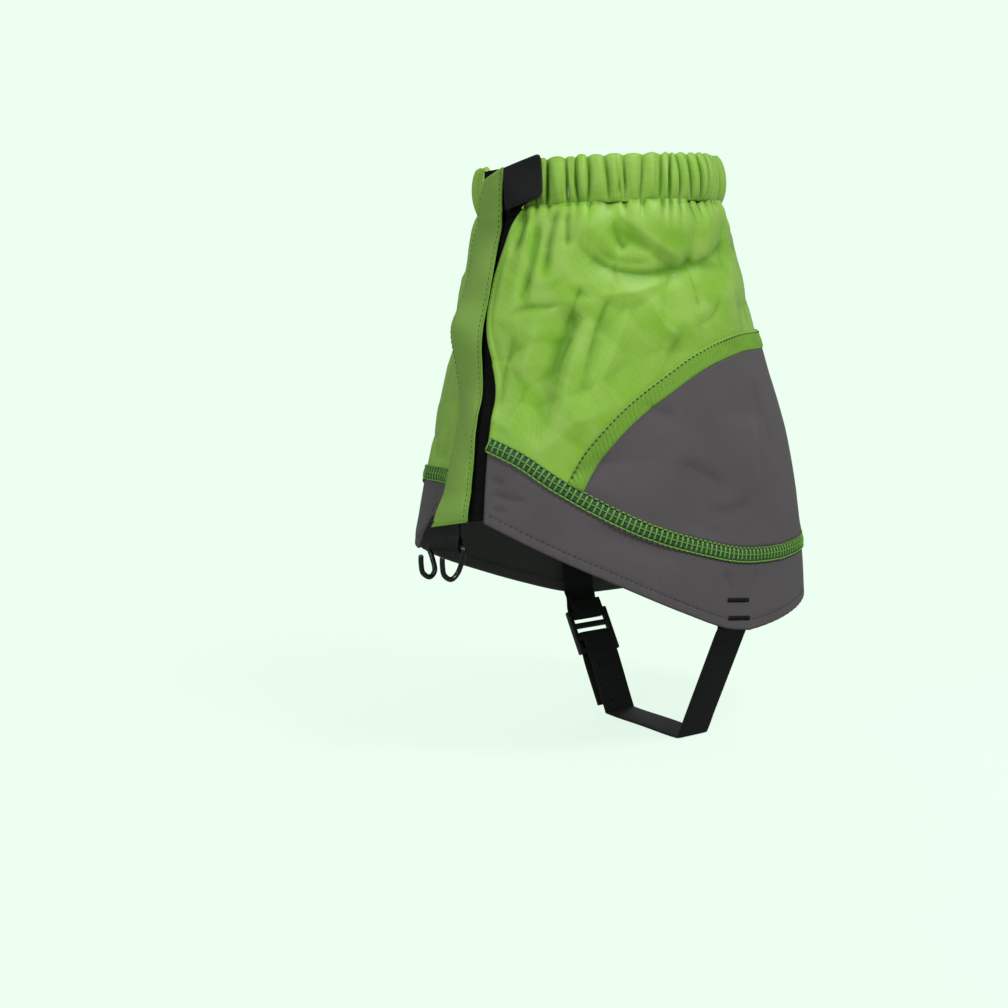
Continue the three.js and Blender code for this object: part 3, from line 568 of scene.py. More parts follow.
def many_tubes(name, points):
    """One mesh of equal tubes from points (tubes, rings, sides, 3), each closed at its ends."""
    tubes, rings, sides = points.shape[:3]
    faces = tube_faces(rings, sides)
    shift = (np.arange(tubes) * rings * sides)[:, None, None]
    every = (faces[None] + shift).reshape(-1, 4)
    run = np.linspace(0, 1, rings)[None, :, None]
    length = np.linalg.norm(points[:, -1].mean(1) - points[:, 0].mean(1), axis=-1)[:, None, None]
    cloth = np.zeros(points.shape)
    cloth[..., 0] = np.arange(sides) / sides
    cloth[..., 1] = run * length
    cloth[..., 2] = np.arange(tubes)[:, None, None]
    return add_mesh(name, points, every, cloth)


def stitch_tubes(starts, ends, normals, radius, lift, sides=6, rings=5):
    """Threads that rise out of the cloth at each start and go back in at each end."""
    share = np.linspace(0, 1, rings)[None, :, None]
    rise = (np.sin(share * math.pi) ** 0.6 * lift - (1 - np.sin(share * math.pi)) * radius * 0.6)
    paths = lerp(starts[:, None], ends[:, None], share) + normals[:, None] * rise
    along = unit(ends - starts)
    side = unit(np.cross(along, normals))
    taper = radius * (0.55 + 0.45 * np.sin(np.linspace(0, 1, rings) * math.pi) ** 0.5)
    wide = np.broadcast_to(taper, paths.shape[:2])
    side, out = (np.broadcast_to(each[:, None], paths.shape) for each in (side, normals))
    return swept(paths, side, out, wide, wide * 0.85, sides)


def spaced_angles(height, start, end, step):
    """Angles from start to end whose places along the line of heights stand one step apart."""
    fine = np.linspace(start, end, 1500)
    line = surface(fine, height(fine))
    run = np.concatenate([[0], np.cumsum(np.linalg.norm(np.diff(line, axis=0), axis=1))])
    count = max(2, int(round(run[-1] / step)))
    return np.interp(np.linspace(0, run[-1], count + 1), run, fine)


def ribbon(name, path, across, width, thickness, columns=12):
    """Webbing with rounded edges along a path of points; across is the direction of its width."""
    path = np.asarray(path, float)
    across = unit(np.asarray(across, float))
    along = unit(np.gradient(path, axis=0))
    out = unit(np.cross(across, along))
    run = np.concatenate([[0], np.cumsum(np.linalg.norm(np.diff(path, axis=0), axis=1))])
    sides = 2 * columns
    c, s = section(sides, WEBBING_SQUARENESS)
    wide = across * (c * width / 2)[None, :, None]
    deep = out[:, None] * (s * thickness / 2)[None, :, None]
    points = path[:, None] + wide + deep
    cloth = np.zeros(points.shape)
    cloth[..., 0] = c * width / 2
    cloth[..., 1] = run[:, None]
    return add_mesh(name, points, tube_faces(len(path), sides), cloth)


# ---- Shader expressions ----


class Shade:
    """A socket of a material, so that its maths reads as an expression."""

    def __init__(self, finish, socket):
        self.finish = finish
        self.socket = socket

    def math(self, operation, *others):
        values = {i: value for i, value in enumerate((self, *others))}
        return self.finish.node("ShaderNodeMath", {"operation": operation}, values)

    def __add__(self, other):
        return self.math("ADD", other)

    __radd__ = __add__

    def __mul__(self, other):
        return self.math("MULTIPLY", other)

    __rmul__ = __mul__

    def __sub__(self, other):
        return self.math("SUBTRACT", other)

    def __rsub__(self, other):
        return (self * -1.0).math("ADD", other)

    def __truediv__(self, other):
        return self.math("DIVIDE", other)

    def clamped(self):
        return self.math("MAXIMUM", 0.0).math("MINIMUM", 1.0)

    def power(self, other):
        return self.math("POWER", other)

    def absolute(self):
        return self.math("ABSOLUTE")

    def sine(self):
        return self.math("SINE")

    def wave(self, length):
        """From 0 to 1 and back over each length along this coordinate."""
        return (self * (2 * math.pi / length)).sine() * 0.5 + 0.5

    def line(self, spacing, width):
        """1 on thin lines that stand one spacing apart, 0 between them."""
        near = (self / spacing).math("PINGPONG", 0.5)
        return 1 - (near / (width / spacing)).clamped()


class Finish:
    """One material: its node tree, and the Principled shader that everything ends in."""

    def __init__(self, name, roughness, **uniform):
        self.material = bpy.data.materials.new(name)
        self.material.use_nodes = True
        self.tree = self.material.node_tree
        self.tree.nodes.clear()
        self.shader = self.tree.nodes.new("ShaderNodeBsdfPrincipled")
        output = self.tree.nodes.new("ShaderNodeOutputMaterial")
        self.tree.links.new(self.shader.outputs[0], output.inputs[0])
        self.shader.inputs["Roughness"].default_value = roughness
        for socket, value in uniform.items():
            self.shader.inputs[socket.replace("_", " ")].default_value = value

    def node(self, kind, settings, inputs, output=0):
        """Adds any node: first its settings, then the values or links of its sockets."""
        made = self.tree.nodes.new(kind)
        for name, value in settings.items():
            setattr(made, name, value)
        for name, value in inputs.items():
            self.feed(made.inputs[name], value)
        return Shade(self, made.outputs[output])

    def feed(self, socket, value):
        if isinstance(value, Shade):
            self.tree.links.new(value.socket, socket)
        else:
            socket.default_value = value

    def set(self, socket, value):
        self.feed(self.shader.inputs[socket], value)

    def cloth(self):
        """The place on the flat cloth, as a vector and its first two parts."""
        place = self.node("ShaderNodeAttribute", {"attribute_name": "cloth"}, {}, "Vector")
        split = self.node("ShaderNodeSeparateXYZ", {}, {"Vector": place})
        parts = split.socket.node.outputs
        return place, Shade(self, parts[0]), Shade(self, parts[1])

    def relief(self):
        """How far the cloth stands out beside its neighbourhood, from -1 to 1: the mask of the painted fold
        shade and highlight.
        """
        return self.node("ShaderNodeAttribute", {"attribute_name": "relief"}, {}, "Fac")

    def painted_fold_shade_and_highlight(self, colour, valley, painted_ridge_highlight):
        """Painted fold shade and highlight: a colour that darkens in the valleys of thin cloth and pales on
        its ridges, as shade and light would fall there.
        """
        relief = self.relief()
        # Painted shade where the cloth stands in, then a painted highlight where it stands out.
        deep = self.mix((relief * -1.6).clamped(), colour, valley)
        return self.mix((relief * 0.7).clamped(), deep, painted_ridge_highlight)

    def place(self):
        return self.node("ShaderNodeTexCoord", {}, {}, "Object")

    def noise(self, place, scale, detail=2.0, roughness=0.5):
        inputs = {"Vector": place, "Scale": scale, "Detail": detail, "Roughness": roughness}
        return self.node("ShaderNodeTexNoise", {}, inputs)

    def mix(self, factor, first, second):
        """A colour between two others."""
        settings = {"data_type": "RGBA"}
        return self.node("ShaderNodeMix", settings, {0: factor, 6: first, 7: second}, 2)

    def bump(self, height, distance, strength=1.0):
        inputs = {"Height": height, "Distance": distance, "Strength": strength}
        self.set("Normal", self.node("ShaderNodeBump", {}, inputs))


def linear(*values):
    """A screen colour from 0 to 255 as linear light with alpha."""
    channels = [v / 255 for v in values]
    return (*[c / 12.92 if c <= 0.04045 else ((c + 0.055) / 1.055) ** 2.4 for c in channels], 1.0)


def scaled(colour, factor):
    return (*[min(1.0, c * factor) for c in colour[:3]], 1.0)


def ripstop(name, colour):
    """Thin nylon with raised threads in small squares and a soft sheen, with pale patches of painted sheen,
    painted shade in the fold valleys and a painted highlight on the fold ridges.
    """
    finish = Finish(name, 0.55, Specular_IOR_Level=0.3, Sheen_Weight=0.12, Sheen_Roughness=0.5)
    place, x, z = finish.cloth()
    grid = (x.line(3.0 * MM, 0.24 * MM) + z.line(3.0 * MM, 0.24 * MM)).clamped()
    cloudy = finish.noise(place, 55.0, 3.0)
    patchy = finish.noise(place, 420.0, 2.0)
    # Painted sheen: a whitish pale green laid in noise patches over the cloth; a brighter copy colours the
    # grid lines.
    painted_sheen_and_grid_pale = (min(1, colour[0] * 1.35 + 0.03), min(1, colour[1] * 1.1), colour[2] * 2.2 + 0.03, 1.0)
    tone = finish.mix((cloudy * 2.4 - 0.8).clamped(), colour, painted_sheen_and_grid_pale)
    lines = finish.mix(grid * 0.26, tone, scaled(painted_sheen_and_grid_pale, 1.15))
    mottled = finish.mix((patchy * 1.4 - 0.5).clamped() * 0.25, lines, scaled(colour, 0.86))
    # Painted shade: a darker, more saturated green for fold valleys. Painted highlight: a paler, whiter green
    # for fold ridges.
    valley = (colour[0] * 0.5, colour[1] * 0.6, colour[2] * 0.35, 1.0)
    painted_ridge_highlight = (min(1, colour[0] * 1.3 + 0.03), min(1, colour[1] * 1.16), colour[2] * 1.6 + 0.05, 1.0)
    finish.set("Base Color", finish.painted_fold_shade_and_highlight(mottled, valley, painted_ridge_highlight))
    finish.set("Roughness", 0.5 + (cloudy - 0.5) * 0.2)
    finish.bump(grid * 0.4 + patchy * 0.6, 0.05 * MM)
    return finish.material


def plain_weave(name, colour, pitch, depth, roughness=0.85):
    """Matte cloth whose crossing yarns show, a little uneven, with painted shade in its fold valleys and a
    painted highlight on its fold ridges.
    """
    finish = Finish(name, roughness, Sheen_Weight=0.05, Sheen_Roughness=0.5)
    place, x, z = finish.cloth()
    weave = x.wave(pitch) * z.wave(pitch) + (1 - x.wave(pitch)) * (1 - z.wave(pitch))
    cloudy = finish.noise(place, 40.0, 3.0)
    fine = finish.noise(place, 900.0, 2.0)
    tone = finish.mix((cloudy * 1.6 - 0.3).clamped(), scaled(colour, 0.9), scaled(colour, 1.1))
    woven = finish.mix(weave * 0.16 + fine * 0.12, tone, scaled(colour, 0.72))
    # Painted shade: the grey darkens in fold valleys. Painted highlight: it pales on fold ridges.
    finish.set("Base Color", finish.painted_fold_shade_and_highlight(woven, scaled(colour, 0.82), scaled(colour, 1.2)))
    finish.set("Roughness", roughness - 0.1 * cloudy + 0.1 * fine)
    finish.bump(weave * 0.8 + fine * 0.5, depth)
    return finish.material


def puckered_tape(name, colour, pale, pitch):
    """Binding tape, doubled over, drawn up into small ribs by its stitches, with a paler edge at its fold.
    Its colour darkens in the rib troughs and pales on the crests as painted shade and highlight, mixed with
    random cloudy tone.
    """
    finish = Finish(name, 0.62, Sheen_Weight=0.1)
    place, x, z = finish.cloth()
    cloudy = finish.noise(place, 260.0, 2.0)
    rib = (x + cloudy * 1.2 * MM).wave(pitch)
    weave = x.wave(0.45 * MM) * z.wave(0.45 * MM)
    # Partly painted shade and highlight: darker in the rib troughs, paler on the rib crests; partly random
    # cloudy tone.
    tone = finish.mix(rib * 0.5 + cloudy * 0.3, scaled(colour, 0.78), scaled(colour, 1.08))
    edge = 1 - (z / (1.1 * MM)).clamped()
    finish.set("Base Color", finish.mix(edge.power(0.5), tone, pale))
    finish.set("Roughness", 0.55 + cloudy * 0.2)
    finish.bump(weave * 0.3 + cloudy * 0.5, 0.12 * MM)
    return finish.material


def thread(name, colour, roughness=0.6):
    """Twisted thread: fine slanting plies."""
    finish = Finish(name, roughness, Specular_IOR_Level=0.3)
    _, x, z = finish.cloth()
    ply = (x + z * (1 / (1.6 * MM))).wave(0.5)
    speck = finish.noise(finish.place(), 900.0, 2.0)
    finish.set("Base Color", finish.mix(ply * 0.5 + speck * 0.3, scaled(colour, 0.62), scaled(colour, 1.15)))
    finish.set("Roughness", roughness + speck * 0.15)
    finish.bump(ply, 0.06 * MM)
    return finish.material


def fuzzy(name, colour, lit):
    """Loop tape: a mat of tiny loops."""
    finish = Finish(name, 0.95, Specular_IOR_Level=0.15)
    place = finish.place()
    loops = finish.noise(place, 1500.0, 4.0, 0.7)
    cells = finish.node("ShaderNodeTexVoronoi", {}, {"Vector": place, "Scale": 1100.0})
    height = loops * 0.7 + (1 - cells) * 0.5
    finish.set("Base Color", finish.mix((height - 0.35).clamped(), colour, lit))
    finish.set("Roughness", 0.85 + loops * 0.12)
    finish.bump(height, 0.5 * MM)
    return finish.material


def webbing_weave(name, colour, lit, rib=1.15):
    """Polyester webbing: ribs across, in columns of slanting yarns."""
    finish = Finish(name, 0.75, Specular_IOR_Level=0.3)
    place, x, z = finish.cloth()
    yarn = ((x * 0.9).absolute() + z).wave(rib * MM)
    column = x.wave(1.5 * MM)
    fine = finish.noise(place, 1400.0, 2.0)
    height = yarn * (0.5 + column * 0.5) + fine * 0.25
    finish.set("Base Color", finish.mix(height * 0.8, colour, lit))
    finish.set("Roughness", 0.68 + fine * 0.2)
    finish.bump(height, 0.25 * MM)
    return finish.material


def smooth_tape(name, colour, lit):
    """Coated tape: nearly plain, with a fine grain."""
    finish = Finish(name, 0.6, Specular_IOR_Level=0.25)
    place = finish.place()
    fine = finish.noise(place, 1500.0, 3.0)
    cloudy = finish.noise(place, 90.0, 2.0)
    finish.set("Base Color", finish.mix(cloudy * 0.6 + fine * 0.2, colour, lit))
    finish.set("Roughness", 0.55 + fine * 0.2)
    finish.bump(fine, 0.08 * MM)
    return finish.material


def hook_tape(name, colour, lit):
    """Hook tape: rows of tiny stiff hooks."""
    finish = Finish(name, 0.6)
    _, x, z = finish.cloth()
    hooks = (x.wave(1.3 * MM) * z.wave(1.1 * MM)).power(3.0)
    finish.set("Base Color", finish.mix(hooks, colour, lit))
    finish.set("Roughness", 0.65 - hooks * 0.25)
    finish.bump(hooks, 0.8 * MM)
    return finish.material


def painted_wire(name, colour, worn):
    """Glossy black coating, worn a little on its edges."""
    finish = Finish(name, 0.22, Coat_Roughness=0.1)
    place = finish.place()
    scuff = finish.noise(place, 700.0, 4.0, 0.7)
    marks = (scuff * 3 - 1.9).clamped()
    finish.set("Base Color", finish.mix(marks * 0.5, colour, worn))
    finish.set("Metallic", marks * 0.4)
    finish.set("Roughness", 0.16 + scuff * 0.22)
    finish.bump(scuff, 0.03 * MM)
    return finish.material


def moulded_plastic(name, colour, lit):
    """Acetal with a fine spark-eroded grain."""
    finish = Finish(name, 0.45)
    place = finish.place()
    grain = finish.noise(place, 2200.0, 3.0)
    cloudy = finish.noise(place, 160.0, 2.0)
    finish.set("Base Color", finish.mix(cloudy * 0.5, colour, lit))
    finish.set("Roughness", 0.36 + grain * 0.2)
    finish.bump(grain, 0.05 * MM)
    return finish.material


def knitted_elastic(name, colour):
    """Woven elastic: long ribs that run round the cuff."""
    finish = Finish(name, 0.8)
    place, x, z = finish.cloth()
    rib = z.wave(1.5 * MM)
    fine = finish.noise(place, 1200.0, 2.0)
    finish.set("Base Color", finish.mix(rib * 0.3 + fine * 0.3, scaled(colour, 0.75), colour))
    finish.set("Roughness", 0.75 + fine * 0.15)
    finish.bump(rib + x.wave(0.8 * MM) * 0.4, 0.2 * MM)
    return finish.material


GROUND_FADE = 0.7  # the ground takes shadows this near the gaiter, and beyond it melts into the backdrop


def pale_ground(name, colour):
    """Pale ground that glows like the backdrop, takes a faint shadow near the gaiter and lights little."""
    finish = Finish(name, 1.0)
    finish.tree.nodes.remove(finish.shader)
    output = next(n for n in finish.tree.nodes if n.type == "OUTPUT_MATERIAL")
    speck = finish.noise(finish.place(), 40.0, 2.0)
    ground = finish.mix(speck * 0.1, colour, scaled(colour, 0.97))
    diffuse = finish.node("ShaderNodeBsdfDiffuse", {}, {"Color": ground})
    glow = finish.node("ShaderNodeEmission", {}, {"Color": colour, "Strength": 1.0})
    dim_glow = finish.node("ShaderNodeEmission", {}, {"Color": colour, "Strength": 0.3})
    away = finish.node("ShaderNodeVectorMath", {"operation": "LENGTH"}, {0: finish.place()}, "Value")
    shadowed = (1 - away / GROUND_FADE).clamped() * 0.12
    seen = finish.node("ShaderNodeMixShader", {}, {0: shadowed, 1: glow, 2: diffuse})
    path = finish.node("ShaderNodeLightPath", {}, {})
    both = finish.node("ShaderNodeMixShader", {}, {0: path, 1: dim_glow, 2: seen})
    finish.tree.links.new(both.socket, output.inputs[0])
    return finish.material


FINISHES = {}


def finish_named(name):
    """The gaiter's finishes, made once from the colour properties."""
    if not FINISHES:
        c = bpy.context.scene.gaiter_colours
        green, dull, grey, bright, dark = (
            tuple(v) for v in (c.shell, c.placket, c.skirt, c.thread, c.dark_thread)
        )
        black = tuple(c.black)
        FINISHES.update(
            green_ripstop=ripstop("green_ripstop", green),
            placket_cloth=plain_weave("placket_cloth", dull, 0.5 * MM, 0.1 * MM, 0.7),
            grey_cloth=plain_weave("grey_cloth", grey, 0.55 * MM, 0.12 * MM),
            green_tape=puckered_tape("green_tape", scaled(green, 0.86), scaled(green, 1.2), TAPE_RIB),
            seam_thread=thread("seam_thread", bright),
            dark_thread=thread("dark_thread", dark),
            grey_thread=thread("grey_thread", scaled(grey, 0.55)),
            tack_thread=thread("tack_thread", scaled(black, 0.35), 0.8),
            seam_backing=plain_weave("seam_backing", scaled(dark, 1.5), 0.6 * MM, 0.1 * MM),
            elastic=knitted_elastic("elastic", (0.7, 0.7, 0.68, 1.0)),
            loop_tape=fuzzy("loop_tape", scaled(black, 0.3), scaled(black, 0.9)),
            hook_tape=hook_tape("hook_tape", scaled(black, 0.7), scaled(black, 2.0)),
            tab_tape=smooth_tape("tab_tape", scaled(black, 0.5), scaled(black, 0.9)),
            webbing=webbing_weave("webbing", scaled(black, 0.6), scaled(black, 1.7)),
            black_wire=painted_wire("black_wire", scaled(black, 0.5), (0.3, 0.3, 0.32, 1.0)),
            black_plastic=moulded_plastic("black_plastic", scaled(black, 0.8), scaled(black, 1.4)),
        )
    return FINISHES[name]


def dress(piece, finish, slot, *nodes):
    """Gives a piece its finish in a material slot, and lets it stand for CAD nodes; the slot argument is not
    used.
    """
    piece.data.materials.append(finish_named(finish))
    if nodes:
        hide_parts(*nodes)
    return piece


# ---- Joints: the side hinge's place, and pieces baked in place ----
HINGE_POINT = wrap_point(HINGE_ANGLE, 150 * MM)


def bend_at_side(piece):
    """A piece that goes right round the leg bends at the wearer's right when the front opens; here it is only
    baked in place, without that bend.
    """
    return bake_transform(piece)


def both_halves(*nodes):
    return [n + suffix for n in nodes for suffix in ("", "_right_front")]


# ---- Panels ----
def panel_places(start, end, low, high, columns, rows, spread=None):
    """Angles and heights of a grid between two edges (angles by height) and two lines (heights by angle)."""
    share = np.linspace(0, 1, rows + 1) if spread is None else spread
    u, v = np.meshgrid(np.linspace(0, 1, columns + 1), share)
    z = np.full(u.shape, (GATHER_Z + SEAM_FRONT_Z) / 2)
    for _ in range(6):
        angle = lerp(start(z), end(z), u)
        z = lerp(low(angle), high(angle), v)
    return angle, z


def always(value):
    return lambda x: np.full(np.shape(x), float(value))


SEAM_HALF = 3.6 * MM
TAPE_RIB = 2.4 * MM
HEM_FACING_HEIGHT = 5.5 * MM


def make_upper_cloth():
    angle, z = panel_places(shell_edge, right_front_edge, seam_z, always(GATHER_Z + 0.8 * MM), 620, 116)
    base = wrap_point(angle, z)
    lift = drape(angle, z)
    turned_edge = 0.5 * MM * ramp(angle - shell_edge(z), 2.4, 1.6)
    outer = wrap_point(angle, z, lift + turned_edge)
    inner = wrap_point(angle, z, lift - 0.45 * MM - turned_edge)
    piece = sheet_mesh("upper_cloth", outer, inner, relief_of(lift))
    dress(piece, "green_ripstop", "green_ripstop", *both_halves("upper_panel"))
    return bend_at_side(piece)


def make_skirt_cloth():
    rows = 34
    near_hem = np.linspace(0, 1, rows + 1) ** 1.7
    angle, z = panel_places(shell_edge, right_front_edge, hem_z, seam_z, 440, rows, near_hem)
    base = wrap_point(angle, z)
    up = z - hem_z(angle)
    facing = HEM_FACING_HEIGHT
    roll = np.sqrt(np.clip(up / (0.9 * MM), 0, 1))
    thick = lerp(1.3, 0.6, ramp(up, facing, facing + 0.8 * MM)) * MM
    groove = 0.22 * MM * hump(up, facing - 0.6 * MM, 0.5 * MM)
    ripple = 0.12 * MM * np.sin(angle * 1.9) * ramp(up, facing + 2 * MM, 0)
    lift = drape(angle, z) + 0.15 * MM + ripple
    middle = lift - thick / 2
    outer = wrap_point(angle, z, middle + roll * thick / 2 - groove)
    inner = wrap_point(angle, z, middle - roll * thick / 2)
    piece = sheet_mesh("skirt_cloth", outer, inner, relief_of(lift))
    dress(piece, "grey_cloth", "grey_cloth", *both_halves("skirt", "hem_facing"))
    return bend_at_side(piece)


def over_seam(angle):
    return seam_z(angle) + SEAM_HALF - 0.4 * MM


def panel_top(angle):
    return heel_edge_z(angle, HEEL_START_ANGLE, HEEL_TOP_Z, SEAM_HALF)


TAPE_START_ANGLE = HEEL_START_ANGLE - 0.85 * BINDING_WIDTH / metres_per_degree(HEEL_START_ANGLE, SEAM_BACK_Z)


def tape_top(angle):
    return heel_edge_z(angle, TAPE_START_ANGLE, HEEL_TOP_Z + BINDING_WIDTH, SEAM_HALF)


def heel_grid(start, low, high, columns, rows):
    """A grid over the heel whose columns crowd together at both steep ends."""
    u = np.linspace(-1, 1, columns + 1)
    share = 0.5 + 0.5 * np.sign(u) * (1 - (1 - np.abs(u)) ** 1.5)
    angle, v = np.meshgrid(lerp(start, 360 - start, share), np.linspace(0, 1, rows + 1))
    return angle, lerp(low(angle), np.maximum(low(angle) + 0.5 * MM, high(angle)), v)


def make_heel():
    angle, z = heel_grid(HEEL_START_ANGLE + 0.4, over_seam, panel_top, 300, 44)
    lift = drape(angle, z)
    outer = wrap_point(angle, z, lift + 1.0 * MM)
    inner = wrap_point(angle, z, lift + 0.45 * MM)
    heel = sheet_mesh("heel_cloth", outer, inner, relief_of(lift))
    wrap_point(angle, z)
    dress(heel, "grey_cloth", "grey_cloth", *both_halves("heel_panel"))
    bend_at_side(heel)

    def tape_low(a):
        beside_panel = from_front(a) < HEEL_START_ANGLE
        return np.where(beside_panel, over_seam(a), np.maximum(over_seam(a), panel_top(a) - 0.6 * MM))

    angle, z = heel_grid(TAPE_START_ANGLE, tape_low, tape_top, 860, 10)
    up = np.linspace(0, 1, 11)[:, None]
    run = flat_places(wrap_point(angle, z))[..., 0]
    rib = np.sin(run / TAPE_RIB * 2 * math.pi + 1.3 * np.sin(run / (9 * MM)))
    pucker = bpy.context.scene.gaiter_sizes.pucker * rib * np.sin(up * math.pi) ** 0.7
    edge = np.sin(np.clip(np.minimum(up, 1 - up) / 0.09, 0, 1) * math.pi / 2)
    lift = drape(angle, z)
    outer = wrap_point(angle, z, lift + 1.15 * MM + 0.45 * MM * edge + pucker)
    inner = wrap_point(angle, z, lift + 1.05 * MM + np.minimum(pucker, 0))
    tape = sheet_mesh("heel_tape", outer, inner)
    dress(tape, "green_tape", "green_tape", *both_halves("heel_binding"))
    bend_at_side(tape)


def make_flatlock_seam():
    """The ladder of thread between the green cloth and the grey: chained edges, a middle line, rungs."""
    sizes = bpy.context.scene.gaiter_sizes
    half = sizes.seam_width / 2
    start = float(shell_edge(SEAM_FRONT_Z)) + 0.3
    end = float(right_front_edge(SEAM_FRONT_Z - RIGHT_FRONT_DROP)) - 0.2

    angle, share = np.meshgrid(np.linspace(start, end, 520), np.linspace(-1, 1, 7))
    z = seam_z(angle) + share * (half - 0.35 * MM)
    rounded = np.sqrt(1 - np.abs(share) ** 4)
    lift = drape(angle, z)
    outer = wrap_point(angle, z, lift + 0.35 * MM + 0.5 * MM * rounded)
    backing = sheet_mesh("seam_backing", outer, wrap_point(angle, z, lift + 0.1 * MM))
    dress(backing, "seam_backing", "seam_thread", *both_halves("flatlock_seam"))
    bend_at_side(backing)

    places = spaced_angles(seam_z, start, end, sizes.seam_stitch)
    centre, _, _, out = surface_frame(places, seam_z(places), 0.85 * MM)
    line = unit(np.gradient(centre, axis=0))
    across = unit(np.cross(out, line))
    jitter = np.random.default_rng(SEED + 2).uniform(-1, 1, (len(places), 3)) * 0.12 * MM
    tubes = []
    for height, radius, lift in ((1, 0.38, 0.36), (-1, 0.38, 0.36), (0.04, 0.26, 0.36)):
        row = centre + across * half * 0.9 * height + jitter[:, :1] * across * 0.6
        drop = out * 0.25 * MM * abs(height)
        begin = row[:-1] - drop[:-1] - line[:-1] * 0.25 * MM
        finish = row[1:] - drop[1:] + line[1:] * 0.25 * MM
        tubes.append(stitch_tubes(begin, finish, out[:-1], radius * MM, lift * MM))
    slant = line * 0.35 * MM
    for lean in (-1, 1):
        low = centre - across * half * 0.85 + slant * lean + jitter[:, 1:2] * line
        high = centre + across * half * 0.85 - slant * lean + jitter[:, 2:3] * line
        tubes.append(stitch_tubes(low, high, out, 0.36 * MM, 0.32 * MM))
    threads = many_tubes("seam_threads", np.concatenate(tubes))
    dress(threads, "seam_thread", "seam_thread")
    bend_at_side(threads)


def stitch_row(name, angles, heights, offset, finish, slot, radius=0.2 * MM, lift=0.16 * MM, gap=0.24):
    """A row of lock stitches through angles and heights; gap is the share between stitches."""
    places, _, _, out = surface_frame(angles, heights, offset)
    start, end = places[:-1], places[1:]
    begin = lerp(start, end, gap / 2)
    finish_at = lerp(start, end, 1 - gap / 2)
    tubes = stitch_tubes(begin, finish_at, out[:-1], radius, lift)
    return dress(many_tubes(name, tubes), finish, slot)


def make_stitching():
    """Stitch rows of the wrap: heel tape, hem and left front edge."""

    def tape_line(angle):
        return np.maximum(tape_top(angle) - 1.2 * MM, over_seam(angle) + 1 * MM)

    first = TAPE_START_ANGLE + 0.8
    angles = spaced_angles(tape_line, first, 360 - first, 2.4 * MM)
    heights = tape_line(angles)
    row = stitch_row(
        "heel_tape_stitches", angles, heights, 1.5 * MM, "dark_thread", "seam_thread", 0.32 * MM, 0.28 * MM
    )
    bend_at_side(row)

    def hem_line(angle):
        return hem_z(angle) + 4.9 * MM

    first, last = shell_edge(HEM_FRONT_Z) + 1.5, right_front_edge(HEM_FRONT_Z) - 1.5
    angles = spaced_angles(hem_line, first, last, 2.6 * MM)
    row = stitch_row(
        "hem_stitches", angles, hem_line(angles), 0.0, "grey_thread", "grey_cloth", 0.17 * MM, 0.14 * MM
    )
    bend_at_side(row)

    heights = np.arange(SEAM_FRONT_Z + 5 * MM, GATHER_Z - 2 * MM, 2.4 * MM)
    edge = shell_edge(heights) + 1.2
    row = stitch_row(
        "front_edge_stitches", edge, heights, 0.5 * MM, "dark_thread", "seam_thread", 0.13 * MM, 0.1 * MM, 0.5
    )
    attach(row, "wrap")


# ---- Cuff ----
CUFF_LEFT_START = 21
CUFF_RIGHT_END = RIGHT_FRONT_END - 6


def make_cuff():
    sizes = bpy.context.scene.gaiter_sizes
    columns, rows = 860, 24
    height = (1 - np.cos(np.linspace(0, 1, rows + 1) * math.pi)) / 2
    angle, share = np.meshgrid(np.linspace(CUFF_LEFT_START, CUFF_RIGHT_END, columns + 1), height)
    puff = PLEATS.puff(angle, share).reshape(angle.shape)
    swell = np.sin(share * math.pi) ** 0.55
    outer_offset = lerp(-1.5, 0.2, swell) * MM + sizes.pleat_depth * swell * (puff - 0.55)
    inner_offset = lerp(-2.0, -5.0, swell) * MM - 0.6 * MM * swell * puff
    top = CUFF_HEIGHT + 1.5 * MM * (puff - 0.6) * share**3
    z = GATHER_Z + share * top
    outer = wrap_point(angle, z, outer_offset)
    inner = wrap_point(angle, z, inner_offset)
    casing = sheet_mesh("cuff_cloth", outer, inner, relief_of(outer_offset, 30))
    wrap_point(angle, z)
    dress(casing, "green_ripstop", "green_ripstop", *both_halves("cuff_casing"))
    bend_at_side(casing)

    low, high = GATHER_Z + 3 * MM, GATHER_Z + CUFF_HEIGHT - 3 * MM
    around = np.linspace(CUFF_LEFT_START + 0.4, CUFF_RIGHT_END - 0.4, 360)
    angle, z = np.meshgrid(around, np.linspace(low, high, 12))
    ripple = 0.12 * MM * np.sin(np.radians(angle) * 90)
    outer = wrap_point(angle, z, ripple - 1.9 * MM)
    inner = wrap_point(angle, z, ripple - 2.9 * MM)
    band = sheet_mesh("cuff_elastic_band", outer, inner)
    wrap_point(angle, z)
    dress(band, "elastic", "elastic", *both_halves("cuff_elastic"))
    bend_at_side(band)


# ---- Front closure ----
LOOP_STRIP_LEFT = -1.5
LOOP_STRIP_UNDERLAP = 4
PATCH_OFFSET = 1.2 * MM
RISE = 2.1 * MM  # how far the placket stands out at the cuff and over the lace hook's webbing
PLACKET_LENGTH = 158 * MM
PLACKET_MIDDLE_Z = 190 * MM
PLACKET_STITCH = 2.3 * MM
PIPING_RADIUS = 0.42 * MM
HOOK_STRIP_MARGIN = 2.6 * MM  # from the placket's edges to its hook strip


def placket_lift(z):
    at_cuff = ramp(z, GATHER_Z - 9 * MM, GATHER_Z)
    at_foot = ramp(z, PLACKET_FOOT_Z + 15 * MM, PLACKET_FOOT_Z + 3 * MM)
    return RISE * np.maximum(at_cuff, at_foot)


def placket_z(across, up):
    """The foot of the placket rises towards its closing edge, and its top falls away from it."""
    return lerp(PLACKET_FOOT_Z - 3.5 * MM * (0.6 - across), PLACKET_TOP_Z - 4.5 * MM * (1 - across), up)


